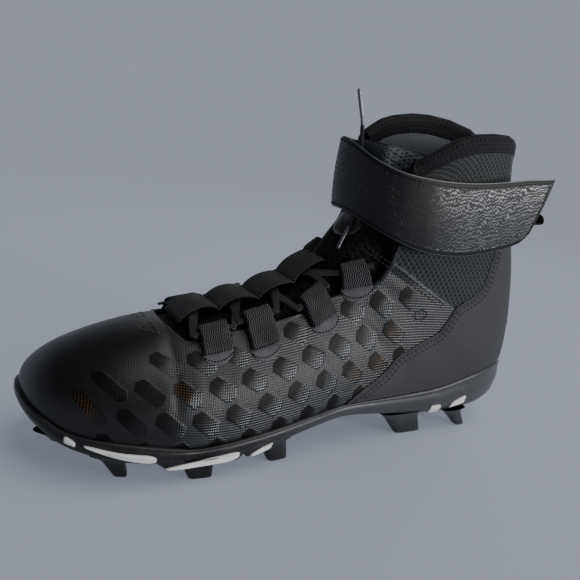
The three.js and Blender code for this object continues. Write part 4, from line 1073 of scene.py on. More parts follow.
def make_tongue():
    rows, columns = 130, 44
    s, q = np.meshgrid(np.linspace(0, 1, rows), np.linspace(0, 1, columns), indexing="ij")
    u = mix(FRONT - 0.03, 25.3 / ROWS, s)
    half = throat_half(u)
    v = mix(0.46 - half, 0.54 + half, q)
    end = np.minimum(1, np.minimum((1 - s) * 14, np.minimum(q, 1 - q) * 14))
    full = np.sqrt(np.clip(1 - (1 - end) ** 2, 0, 1))
    top = tongue_top(u, v)
    quilting = -0.25 * np.exp(-((q - 0.5) * columns / 1.2) ** 2)
    upper = on_last(u, v, top - 1.8 + 1.8 * full + quilting)
    lower = on_last(u, v, top - 1.8 - 1.8 * full)
    points = np.concatenate([upper.reshape(-1, 3), lower.reshape(-1, 3)])
    size = rows * columns
    faces = grid_faces(rows, columns) + [f[::-1] for f in grid_faces(rows, columns, base=size)]
    at = lambda i, j, base=0: base + i * columns + j
    for i in range(rows - 1):
        faces.append([at(i, 0), at(i + 1, 0), at(i + 1, 0, size), at(i, 0, size)])
        faces.append([at(i, columns - 1), at(i, columns - 1, size), at(i + 1, columns - 1, size),
                      at(i + 1, columns - 1)])
    for j in range(columns - 1):
        for i in (0, rows - 1):
            faces.append([at(i, j), at(i, j + 1), at(i, j + 1, size), at(i, j, size)])
    along = np.cumsum(np.concatenate([[0], np.linalg.norm(np.diff(upper[:, columns // 2], axis=0), axis=1)]))
    uv = np.stack([np.broadcast_to(along[:, None], u.shape), upper[..., 1]], -1).reshape(-1, 2)
    piece = build("tongue_pad", points, faces, [tongue_mesh()], ("tongue",),
                  uv=np.concatenate([uv, uv]))
    # bare rounded patch near its top
    s, q = np.meshgrid(np.linspace(-1, 1, 33), np.linspace(-1, 1, 25), indexing="ij")
    u0, v0 = 18.15 / ROWS, 0.487
    a = s * np.sqrt(1 - q * q / 2) * 9.5
    b = q * np.sqrt(1 - s * s / 2) * 11
    u = u0 + a / (per_row(u0, v0) * ROWS)
    v = v0 + b / per_v(u0, v0)
    lift = 0.2 + 0.9 * np.sqrt(np.clip(1 - np.maximum(np.abs(s), np.abs(q)) ** 6, 0, 1))
    patch = on_last(u, v, tongue_top(u, v) + lift)
    build("tongue_patch", patch.reshape(-1, 3), grid_faces(33, 25),
          [plain("tongue_patch_skin", (0.012, 0.008, 0.006), 0.25, grain=1200, Coat_Weight=0.5,
                 Coat_Roughness=0.15)], uv=np.stack([a, b], -1).reshape(-1, 2))


make_tongue()


# ---------------------------------------------------------------- sole
def rim_line(count):
    def level(u, v):
        point = last_point(u, v)
        return point[..., 2] - sole_at(point[..., 0])[1]

    def cross(low, high, miss):
        low, high = np.array(low, float), np.array(high, float)
        sign = np.sign(miss(low))
        for _ in range(40):
            middle = (low + high) / 2
            same = np.sign(miss(middle)) == sign
            low, high = np.where(same, middle, low), np.where(same, high, middle)
        return (low + high) / 2

    toe = cross(0.0, 0.2, lambda u: level(u, 0.0))
    heel = cross(0.5, 0.9, lambda u: level(u, 0.0))
    fine = 500
    u = mix(toe, heel, np.arange(1, fine) / fine)
    lines = []
    for start, stop in ((0.0, 0.4), (1.0, 0.6)):
        v = cross(np.full(fine - 1, start), np.full(fine - 1, stop), lambda vv: level(u, vv))
        line = np.concatenate([last_point(toe, 0.0)[None], last_point(u, v), last_point(heel, 0.0)[None]])
        lines.append(resample(line, count=count + 1))
    return lines[0], lines[1]


STATIONS = 150
RIM_LATERAL, RIM_MEDIAL = rim_line(STATIONS)


def rim_side(sign):
    return RIM_LATERAL if sign > 0 else RIM_MEDIAL


def rim_away(sign):
    line = rim_side(sign)
    ahead = np.gradient(line, axis=0)
    if sign > 0:
        out = np.stack([ahead[:, 1], -ahead[:, 0], 0 * ahead[:, 0]], -1)
    else:
        out = np.stack([-ahead[:, 1], ahead[:, 0], 0 * ahead[:, 0]], -1)
    out = unit(out)
    out[0], out[-1] = (1, 0, 0), (-1, 0, 0)
    return out


def heel_round(x):
    return 1.6 + 3.4 * (1 - smooth(0.05, 0.35, x / LAST))


def side_ring(sign, share, out):
    line = rim_side(sign)
    under, top = sole_at(line[:, 0])
    moved = line + rim_away(sign) * out(line[:, 0])[:, None]
    moved[:, 2] = mix(under, top, share)
    return moved


def level_out(share):
    places = [0, 0.2, 0.55, 1]
    def out(x):
        r = heel_round(x)
        stack = [RIM_WALL - r, RIM_WALL - 0.3 * r, np.full_like(r, RIM_WALL + 0.5), np.full_like(r, RIM_WALL)]
        value = stack[-1]
        for k in range(3):
            t = np.clip((share - places[k]) / (places[k + 1] - places[k]), 0, 1)
            if share <= places[k + 1]:
                value = mix(stack[k], stack[k + 1], t)
                break
        return value
    return out


# Profile of the side: share of the height, and mm out of the plain side
SIDE_PROFILE = [(1.0, -2.6), (1.0, -0.55), (0.985, -0.1), (0.955, 0.18), (0.92, 0.22), (0.885, 0.1),
                (0.86, -0.12), (0.83, -0.22), (0.79, -0.15), (0.7, 0.0), (0.6, 0.02), (0.5, 0.0),
                (0.4, 0.0), (0.3, 0.0), (0.2, 0.0), (0.12, 0.0), (0.06, -0.1), (0.02, -0.45), (0.0, -1.1)]


def station_of(sign, x):
    line = side_ring(sign, 0.0, level_out(0.0))
    return np.interp(-np.asarray(x, float), -line[:, 0], np.arange(len(line)))


SIDE_STACK = {sign: np.array([side_ring(sign, s, level_out(s)) for s in (0, 0.2, 0.55, 1.0)])
              for sign in (1, -1)}
SIDE_AWAY = {sign: rim_away(sign) for sign in (1, -1)}


def side_point(sign, station, height, out):
    station, height, out = np.broadcast_arrays(station, height, out)
    low = np.clip(np.floor(station).astype(int), 0, STATIONS - 1)
    t = (station - low)[..., None]
    stack = SIDE_STACK[sign]
    line = mix(stack[:, low], stack[:, low + 1], t)
    z = line[0, ..., 2] + height
    point = np.zeros(z.shape + (3,))
    point[:] = line[0]
    for k in range(3):
        a, b = line[k], line[k + 1]
        share = np.clip((z - a[..., 2]) / (b[..., 2] - a[..., 2]), 0, 1)[..., None]
        use = (z >= a[..., 2])[..., None]
        point = np.where(use, mix(a, b, share), point)
    away = mix(SIDE_AWAY[sign][low], SIDE_AWAY[sign][low + 1], t)
    point = point + away * out[..., None]
    point[..., 2] = z
    return point


STUD_ROWS = [
    (0.962, 0.190, 11, 0.950, 0.170, 5, 1.10, -48), (0.881, 0.385, 16, 0.858, 0.360, 6.5, 0.04, -22),
    (0.744, 0.465, 21, 0.732, 0.463, 12.5, 0, -3), (0.592, 0.398, 18, 0.573, 0.385, 12, 0, 8),
    (0.284, 0.275, 30, 0.251, 0.262, 19, 0, 2), (0.147, 0.262, 17, 0.109, 0.250, 7, 0, 8),
]
PAD_ROWS = [
    (0.951, 0.935, 0, 5.2, 4.6, 4.2, 3.4), (0.926, 0.817, 0, 5.6, 3.0, 2.0, 6.4),
    (0.803, 0.668, 1.0, -3.0, -0.2, 2.2, 6.8), (0.648, 0.604, 0.9, -3.0, 0.4, 2.2, 5.0),
    (0.222, 0.192, 0, 2.8, 3.0, 6.8, 6.6), (0.166, 0.126, 0, 3.6, 7.4, 5.2, 7.4),
]


def stud_mesh(row, sign):
    base_x, base_y, base_long, tip_x, tip_y, tip_long, up, turn = row
    medial = 0.91 if sign < 0 else 1.0
    base_x, tip_x = base_x * LAST, tip_x * LAST
    base_y, tip_y = base_y * BALL * medial, tip_y * BALL * medial
    base_z, tip_z = float(sole_at(base_x)[0]) + 0.5, up * STUD
    turn = math.radians(turn)
    angle = 2 * math.pi * (np.arange(28) + 0.5) / 28
    square = (np.abs(np.cos(angle)) ** 4 + np.abs(np.sin(angle)) ** 4) ** -0.25
    rings = []
    # share from base to tip, and how much wider or narrower than the straight taper
    for share, grow in ((0.0, 2.0), (0.06, 0.9), (0.14, 0.25), (0.24, 0.0), (0.35, 0.0), (0.5, 0.0),
                        (0.65, 0.0), (0.8, 0.0), (0.9, 0.0), (0.955, -0.05), (0.985, -0.3), (1.0, -0.8)):
        taper = min(1.0, share + 0.2 * min(1, share / 0.35)) if share < 0.35 else mix(0.55, 1, (share - 0.35) / 0.65)
        long = mix(base_long, tip_long, taper) / 2 + grow
        wide = mix(10.0, 5.5, taper) / 2 + grow
        a, b = long * np.cos(angle) * square, wide * np.sin(angle) * square
        x = mix(base_x, tip_x, share) + a * math.cos(turn) - b * math.sin(turn)
        y = sign * (mix(base_y, tip_y, share) + a * math.sin(turn) + b * math.cos(turn))
        rings.append(np.stack([x, y, np.full_like(x, mix(base_z, tip_z, share))], -1))
    rings = np.array(rings)
    faces = grid_faces(len(rings), 28, closed=True)
    faces.append([(len(rings) - 1) * 28 + k for k in range(28)])
    return rings.reshape(-1, 3), faces


def make_sole():
    profile = [np.concatenate([side_ring(1, s, lambda x, s=s, o=o: level_out(s)(x) + o)[:-1],
                               side_ring(-1, s, lambda x, s=s, o=o: level_out(s)(x) + o)[::-1][:-1]])
               for s, o in SIDE_PROFILE]
    total = profile[0].shape[0]
    points = [np.array(profile).reshape(-1, 3)]
    faces = grid_faces(len(profile), total, closed=True)
    count = len(profile) * total
    bottom = profile[-1]
    left = bottom[:STATIONS + 1]
    right = np.concatenate([bottom[:1], bottom[STATIONS:][::-1][:STATIONS]])
    right = np.array([bottom[(total - k) % total] for k in range(STATIONS + 1)])
    s = np.linspace(0, 1, 25)[None, :, None]
    plate = left[:, None] * (1 - s) + right[:, None] * s
    x = plate[..., 0]
    width = np.linalg.norm(left - right, axis=1)[:, None]
    inset = np.minimum(s[..., 0], 1 - s[..., 0]) * width
    groove = 0.9 * smooth(2.0, 5.0, inset)
    rib = 0.7 * np.exp(-((s[..., 0] - 0.5) * width / 5.5) ** 2) * smooth(20, 60, x) * smooth(285, 240, x)
    chevron = 0.35 * (np.cos(2 * np.pi * (x + 0.35 * np.abs(s[..., 0] - 0.5) * width * 2) / 9) > 0.2) \
        * smooth(6, 9, inset)
    plate[..., 2] = sole_at(x)[0] + groove - rib - chevron
    points.append(plate.reshape(-1, 3))
    faces += grid_faces(STATIONS + 1, 25, base=count)
    count += plate.shape[0] * plate.shape[1]
    for sign in (1, -1):
        for row in STUD_ROWS:
            p, f = stud_mesh(row, sign)
            points.append(p)
            faces += [[k + count for k in face] for face in f]
            count += len(p)
        for start, stop, drop, *_ in PAD_ROWS:
            if drop <= 0:
                continue
            ends = station_of(sign, np.array([start + 0.012, stop - 0.014]) * LAST)
            i, j = np.meshgrid(np.linspace(0, 1, 40), np.linspace(0, 1, 14), indexing="ij")
            full = np.minimum(1, np.sin(np.pi * i) * 3) * np.clip((1 - j) * 4, 0, 1)
            face = side_point(sign, mix(ends[0], ends[1], i), -drop * POD * full * np.minimum(1, 0.6 + 4 * j),
                              -0.15 - 15 * j ** 1.5)
            roof = side_point(sign, mix(ends[0], ends[1], i), 1.2, -0.15 - 15 * j ** 1.5)
            size = 40 * 14
            points += [face.reshape(-1, 3), roof.reshape(-1, 3)]
            faces += grid_faces(40, 14, base=count)
            for a in range(39):
                faces.append([count + a * 14, count + (a + 1) * 14, count + size + (a + 1) * 14,
                              count + size + a * 14])
            count += 2 * size
    points = np.concatenate(points)
    build("sole_body", points, faces, [satin_rubber()], ("outsole",),
          uv=points[:, [0, 2]])


make_sole()


def make_inserts():
    skin = speckled_insert()
    for side, sign in (("lateral", 1), ("medial", -1)):
        for k, (start, stop, _, toe_up, heel_up, thin, thick) in enumerate(PAD_ROWS):
            ends = station_of(sign, np.array([start, stop]) * LAST)
            i, j = np.meshgrid(np.linspace(0, 1, 48), np.linspace(0, 1, 16), indexing="ij")
            round_end = np.sqrt(np.clip(1 - np.abs(2 * i - 1) ** 6, 0.06, 1))
            height = mix(thin, thick, i) * round_end
            level = mix(toe_up, heel_up, i) + (j - 0.5) * height
            length = abs(start - stop) * LAST
            near = np.minimum(np.minimum(i, 1 - i) * length, np.minimum(j, 1 - j) * height)
            out = -0.5 + 1.4 * np.sqrt(np.clip(1 - (1 - np.clip(near / 1.1, 0, 1)) ** 2, 0, 1))
            front = side_point(sign, mix(ends[0], ends[1], i), level, out)
            uv = np.stack([i * length, level], -1)
            hatch = np.full(i.size, 1.0 if k == 4 else 0.15)
            build(f"insert_{side}_{k + 1}", front.reshape(-1, 3), grid_faces(48, 16), [skin],
                  (f"sole_insert_{side}_{k + 1}",), uv=uv.reshape(-1, 2),
                  fields={"edge": near.ravel(), "hatch": hatch})


make_inserts()


# ---------------------------------------------------------------- heel counter
COUNTER_EDGE = [(0.640, -0.06), (0.575, -0.01), (0.488, 0.025), (0.429, 0.117), (0.361, 0.190),
                (0.330, 0.243), (0.276, 0.292), (0.238, 0.327), (0.207, 0.410), (0.150, 0.472),
                (0.136, 0.560), (0.124, 0.650), (0.108, 0.800)]


def counter_line():
    points = [(x * LAST, STUD + z * SHAFT) for x, z in COUNTER_EDGE]
    first = curve_through(points[:9], 8)
    second = curve_through(points[8:], 8)
    return np.concatenate([first, second[1:]])


def counter_outline():
    front = counter_line()
    back = np.array([(-0.10 * LAST, front[-1][1]), (-0.10 * LAST, STUD - 0.06 * SHAFT)])
    return np.concatenate([front, back])


def counter_field(points):
    rim = sole_at(points[..., 0])[1]
    return np.minimum(outline_distance(points[..., [0, 2]], counter_outline()),
                      points[..., 2] - rim - 0.3)


def make_counter():
    u, v = np.meshgrid(np.linspace(8.6, 25.4, 150) / ROWS, np.linspace(-0.44, 0.44, 200), indexing="ij")
    points = last_point(u, v)
    crease = lambda u, v, offset: on_last(u, v, offset - 0.5 * np.exp(
        -((last_point(u, v)[..., 0] - 96) / 5.0) ** 2) * smooth(48, 60, last_point(u, v)[..., 2]))
    panel("counter_layer", u, v, counter_field(points), 0.2, 1.6, 0.5, counter_skin(),
          ("heel_counter",), surface=crease)


make_counter()


# ---------------------------------------------------------------- laces and webbing
LOOP_WIDTH = 15.5
LACE_WIDTH, LACE_THICK, LACE_ROOM = 5.0, 1.4, 0.7
SEAT = 0.7
LACE_HEIGHT = SEAT + WEB + LACE_ROOM + LACE_THICK / 2
KEEPER_WIDTH = 23.0


def loop_place(row, sign):
    u = row[0] / ROWS
    fold, base = 0.5 - sign * row[1], 0.5 - sign * row[2]
    high = per_v(u, fold)
    return dict(sign=sign, u=u, fold=fold, turn=math.radians(row[3]), rise=1 / (per_row(u, fold) * ROWS),
                fall=1 / high, length=abs(base - fold) * high)


def loop_uv(place, along, down):
    c, s = math.cos(place["turn"]), math.sin(place["turn"])
    return (place["u"] + (along * c - down * s) * place["rise"],
            place["fold"] - place["sign"] * (along * s + down * c) * place["fall"])


def make_loops():
    ribs = ribbed("webbing_ribs", across=False, pitch=1.25, slant=0.5, depth=0.5)
    patch_skin = ribbed("patch_weave", dark=(0.03, 0.03, 0.031), light=(0.17, 0.171, 0.175), pitch=0.9,
                        slant=0.8, depth=0.25)
    for side, sign in (("lateral", 1), ("medial", -1)):
        for k, row in enumerate(LOOP_ROWS):
            place = loop_place(row, sign)
            length = place["length"]
            half = LACE_WIDTH / 2 + LACE_ROOM
            low, high = SEAT + WEB / 2, SEAT + LACE_THICK + 2 * LACE_ROOM + 1.5 * WEB
            path = [(length - 0.3, low), (length * 0.55, low), (0, low), (-half * 0.8, low + 0.1)]
            turn = [(-half - 0.65 + 0.6 * (1 - math.sin(a)), (low + high) / 2 - (high - low) / 2 * math.cos(a))
                    for a in np.linspace(0.35, math.pi - 0.35, 7)]
            path += turn + [(-half * 0.8, high - 0.05), (0, high + 0.15), (half * 0.7, high - 0.1),
                            (half + 3.2, high - WEB - 0.8), (length - 0.3, SEAT + WEB + 0.55)]
            line = resample(curve_through(path, 6), count=64)
            ahead = unit(np.gradient(line, axis=0))
            normal = np.stack([-ahead[:, 1], ahead[:, 0]], -1)
            across = np.linspace(-1, 1, 15)
            rings = []
            for offset, reach in ((WEB / 2, across), (-WEB / 2, across[::-1])):
                for a in reach:
                    moved = line + normal * offset * (0.55 if abs(a) > 0.99 else 1)
                    u, v = loop_uv(place, a * LOOP_WIDTH / 2, moved[:, 0])
                    rings.append(on_last(u, v, moved[:, 1]))
            rings = np.array(rings).transpose(1, 0, 2)
            count = rings.shape[1]
            faces = grid_faces(len(line), count, closed=True)
            faces.append(list(range(count))[::-1])
            faces.append([(len(line) - 1) * count + q for q in range(count)])
            widths = np.concatenate([across, across[::-1]]) * LOOP_WIDTH / 2
            uv = np.stack(np.broadcast_arrays(arc(line)[:, None], widths[None, :]), -1)
            build(f"loop_{side}_{k + 1}", rings.reshape(-1, 3), faces, [ribs],
                  (f"lace_loop_{side}_{k + 1}",), uv=uv.reshape(-1, 2))
            # leaf-shaped patch sewn below the loop
            s, q = np.meshgrid(np.linspace(-1, 1, 37), np.linspace(0, 1, 13), indexing="ij")
            deep = 8.4 if k else 7.4
            leaf = np.clip(1 - s ** 2, 0, 1) ** 0.55
            along = s * (LOOP_WIDTH / 2 + 0.8)
            down = length - 0.5 + (q - 0.12) * deep * leaf
            near = np.minimum(np.minimum(q, 1 - q) * deep * leaf, (1 - np.abs(s)) * 8)
            lift = 0.35 + 0.75 * np.sqrt(np.clip(1 - (1 - np.clip(near / 0.9, 0, 1)) ** 2, 0, 1))
            u, v = loop_uv(place, along, down)
            build(f"patch_{side}_{k + 1}", on_last(u, v, lift).reshape(-1, 3), grid_faces(37, 13), [patch_skin],
                  uv=np.stack([along, down], -1).reshape(-1, 2))
            place["deep"] = deep
            PATCHES.append(place)


PATCHES = []
make_loops()


def along_top(start, stop, count):
    fine = np.linspace(start, stop, 400)
    points = last_point(fine, 0.5)
    along = arc(points)
    return np.interp(np.linspace(0, along[-1], count), along, fine)


KEEPER_PLACES = along_top(7.87 / ROWS, 13.95 / ROWS, 193)


def hump_at(k):
    return float(KEEPER_PLACES[int(round(192 * (k + 0.5) / 4))])


def make_keeper():
    u = KEEPER_PLACES
    t = np.linspace(0, 1, len(u))
    wave = np.abs(np.sin(math.pi * 4 * t)) ** 0.62
    lift = tongue_top(u, np.full_like(u, 0.5)) + 0.9 + WEB / 2 + 5.2 * (1 - 0.3 * t) * wave
    centres = on_last(u, 0.5, lift)
    ups = last_normal(u, np.full_like(u, 0.5))
    tangent = unit(np.gradient(centres, axis=0))
    sides = np.broadcast_to(np.array([0, 1.0, 0]), centres.shape)
    ups = unit(np.cross(tangent, sides)) * -1
    ups = np.where((ups[:, 2] < 0)[:, None], -ups, ups)
    ribs = ribbed("keeper_ribs", dark=(0.0022, 0.0022, 0.0025), light=(0.055, 0.0552, 0.057), pitch=1.15,
                  across=True, slant=0.0, depth=0.45)
    band("keeper_band", centres, sides, ups, KEEPER_WIDTH / 2, WEB / 2, ribs, ("lace_keeper",),
         across=17)
    return centres, sides, ups


KEEPER = make_keeper()


def lace_route(start):
    sign = start
    edge = KEEPER_WIDTH / 2 + 1

    def under(k, y, ahead):
        u = hump_at(k)
        u -= ahead / (per_row(u, 0.5) * ROWS)
        return (u, 0.5 - y / per_v(u, 0.5), LACE_HEIGHT - 1.2, 1.0)

    route = [under(0, 0, 0), under(0, sign * edge, 4)]
    for k, row in enumerate(LOOP_ROWS):
        place = loop_place(row, sign)
        for end in (-1.3, -1, 0, 1, 1.3):
            u, v = loop_uv(place, end * (LOOP_WIDTH / 2 + 1), 0)
            route.append((float(u), float(v), LACE_HEIGHT, 0.66))
        if k + 1 < len(LOOP_ROWS):
            route += [under(k + 1, sign * edge / 2, 0), under(k + 1, -sign * edge / 2, 2)]
            sign = -sign
    return np.array(route, float)


def make_laces():
    weave = lace_weave()
    for name, start in (("a", 1), ("b", -1)):
        route = lace_route(start)
        points = on_last(route[:, 0], route[:, 1], route[:, 2])
        wide = np.vstack([2 * points[0] - points[1], points, 2 * points[-1] - points[-2]])
        places = np.linspace(0, len(points) - 1, (len(points) - 1) * 9 + 1)
        k = np.minimum(places.astype(int), len(points) - 2)
        t = (places - k)[:, None]
        p0, p1, p2, p3 = wide[k], wide[k + 1], wide[k + 2], wide[k + 3]
        m1, m2 = 0.24 * (p2 - p0), 0.24 * (p3 - p1)
        line = ((2 * t ** 3 - 3 * t ** 2 + 1) * p1 + (t ** 3 - 2 * t ** 2 + t) * m1
                + (3 * t ** 2 - 2 * t ** 3) * p2 + (t ** 3 - t ** 2) * m2)
        mixed = route[k] * (1 - t) + route[k + 1] * t
        normal = last_normal(mixed[:, 0], mixed[:, 1])
        tangent = unit(np.gradient(line, axis=0))
        side = unit(np.cross(normal, tangent))
        up = unit(np.cross(tangent, side))
        band(f"lace_band_{name}", line, side, up, LACE_WIDTH / 2, LACE_THICK / 2, weave,
             ("lace",), across=9, scale=mixed[:, 3])


make_laces()


# ---------------------------------------------------------------- ankle strap
STRAP_ROWS = np.array([
    [.190, -.511, .640, .880], [.255, -.509, .645, .893], [.315, -.500, .655, .907],
    [.365, -.448, .668, .920], [.402, -.330, .685, .930], [.423, -.130, .698, .934],
    [.427, .100, .698, .918], [.416, .310, .680, .888], [.388, .475, .652, .864],
    [.340, .548, .622, .852], [.285, .575, .607, .848], [.220, .580, .608, .852],
    [.155, .585, .628, .864], [.105, .592, .652, .876], [.068, .600, .670, .884],
])
STRAP_THICK = 2.4


def strap_point(t, share, out):
    t, share, out = np.broadcast_arrays(*(np.asarray(a, float) for a in (t, share, out)))
    last = len(STRAP_ROWS) - 1
    here = table_at(STRAP_ROWS, t * last)
    ahead = table_at(STRAP_ROWS, np.minimum(1, t + STEP) * last)
    behind = table_at(STRAP_ROWS, np.maximum(0, t - STEP) * last)
    dx, dy = (ahead[..., 0] - behind[..., 0]) * LAST, (ahead[..., 1] - behind[..., 1]) * HEEL
    size = np.hypot(dx, dy)
    away = out * STRAP_THICK + 1.2 * (1 - (2 * share - 1) ** 2)
    x = here[..., 0] * LAST + dy / size * away - 0.045 * LAST * smooth(0.9, 1, t) * (share - 0.5)
    y = here[..., 1] * HEEL - dx / size * away
    return np.stack([x, y, STUD + SHAFT * mix(here[..., 2], here[..., 3], share)], -1)


def make_strap():
    rows, columns = 200, 44
    t, s = np.meshgrid(np.linspace(0, 1, rows), np.linspace(0, 1, columns), indexing="ij")
    centre = strap_point(np.linspace(0, 1, rows), 0.5, 1)
    along = arc(centre)
    length = along[-1]
    # the free end's lower corner is round
    corner = 7.0
    near_end = length - along
    x_in = np.clip((corner - near_end) / corner, 0, 1)[:, None]
    high = STUD + SHAFT * 0.225
    rise = corner * (1 - np.sqrt(np.clip(1 - x_in ** 2, 0, 1))) / 39
    share = rise + (1 - rise) * s
    edge = np.minimum(np.minimum(s, 1 - s) * 40, near_end[:, None])
    round_edge = np.sqrt(np.clip(1 - (1 - np.clip(edge / 1.0, 0, 1)) ** 2, 0, 1))
    ripple = 0.22 * np.sin(along[:, None] / 5.2 + 5 * s) * smooth(70, 10, along)[:, None] * smooth(0, 6, edge)
    outer = strap_point(t, share, 0.5 + 0.5 * round_edge + (ripple + 0.0) / STRAP_THICK)
    inner = strap_point(t, share, 0.5 - 0.5 * round_edge)
    size = rows * columns
    faces = grid_faces(rows, columns) + [f[::-1] for f in grid_faces(rows, columns, base=size)]
    for i in range(rows - 1):
        for j in (0, columns - 1):
            a, b = i * columns + j, (i + 1) * columns + j
            faces.append([a, b, b + size, a + size])
    for j in range(columns - 1):
        for i in (0, rows - 1):
            a = i * columns + j
            faces.append([a, a + 1, a + 1 + size, a + size])
    uv = np.stack([np.broadcast_to(along[:, None], s.shape), s * 40], -1).reshape(-1, 2)
    points = np.concatenate([outer.reshape(-1, 3), inner.reshape(-1, 3)])
    edges = np.concatenate([edge.ravel(), np.full(size, 5.0)])
    build("strap_band", points, faces, [strap_skin()], ("ankle_strap",),
          uv=np.concatenate([uv, uv]), fields={"edge": edges})


make_strap()


# ---------------------------------------------------------------- heel webbing and pull loop
def make_heel_webbing():
    ribs = ribbed("heel_ribs", dark=(0.002, 0.002, 0.0022), light=(0.026, 0.0262, 0.028), pitch=1.2,
                  across=True, slant=0.0, depth=0.45)
    row = np.linspace(18.8, 22.6, 150)
    u = row / ROWS
    lift = 0.6 + 1.3 + WEB / 2
    for middle, rise in ((19.8, 4.5), (21.55, 3.5)):
        lift = lift + rise * (1 - smooth(0, 0.5, np.abs(row - middle)))
    centres = on_last(u, 0.0, lift)
    sides = np.broadcast_to(np.array([0, 1.0, 0]), centres.shape)
    tangent = unit(np.gradient(centres, axis=0))
    ups = unit(np.cross(tangent, sides))
    band("heel_band", centres, sides, ups, 6, WEB / 2, ribs, ("heel_webbing",))
    seat = 0.9 + 1.3
    low, high = on_last(np.array([23.8, 24.6]) / ROWS, 0.0, seat)
    t = np.linspace(0, 1, 90)[:, None]
    rise = np.sin(math.pi * (t - 0.5))
    out = (1 - np.abs(rise) ** 3.2) * 36
    line = mix(low, high, (1 + rise) / 2) + np.concatenate([-out, 0 * out, -0.2 * out], 1)
    line = resample(line, count=110)
    tangent = unit(np.gradient(line, axis=0))
    sides = np.broadcast_to(np.array([0, 1.0, 0]), line.shape)
    band("pull_band", line, sides, unit(np.cross(tangent, sides)), 6, WEB / 2, ribs,
         ("heel_pull_loop",))


make_heel_webbing()


# ---------------------------------------------------------------- seams
def counter_seam(inset, start, stop):
    """Path on the counter beside its front edge, on both sides of the shoe."""
    line = counter_line()
    along = arc(line)
    ahead = unit(np.gradient(line, axis=0))
    moved = line + np.stack([ahead[:, 1], -ahead[:, 0]], -1) * inset * -1
    keep = (along >= start) & (along <= stop) & (moved[:, 1] > sole_at(moved[:, 0])[1] + 1.5)
    moved = resample(moved[keep], pitch=1.5)
    u, v = side_place(moved[:, 0], moved[:, 1])
    paths = []
    for sign in (1, -1):
        vv = v if sign > 0 else 1 - v
        crease = -0.5 * np.exp(-((moved[:, 0] - 96) / 5.0) ** 2) * smooth(48, 60, moved[:, 1])
        paths.append((on_last(u, vv, 1.55 + crease), last_normal(u, vv)))
    return paths


def patch_seam(place):
    paths = []
    half, length, deep = LOOP_WIDTH / 2 + 0.8, place["length"], place["deep"]
    for top in (True, False):
        s = np.linspace(-0.93, 0.93, 40)
        leaf = np.clip(1 - s ** 2, 0, 1) ** 0.55
        along = s * half
        down = length - 0.5 + ((0.16 if top else 0.80) - 0.12) * deep * leaf + (0 if top else -0.2)
        u, v = loop_uv(place, along, down)
        paths.append((on_last(u, v, 1.08), last_normal(u, v)))
    return paths


COLLAR_SEAM = ((0.151, 0.208, 0.250, 0.279, 0.306), (25.58, 25.34, 25.03, 24.67, 24.31))     # v and row


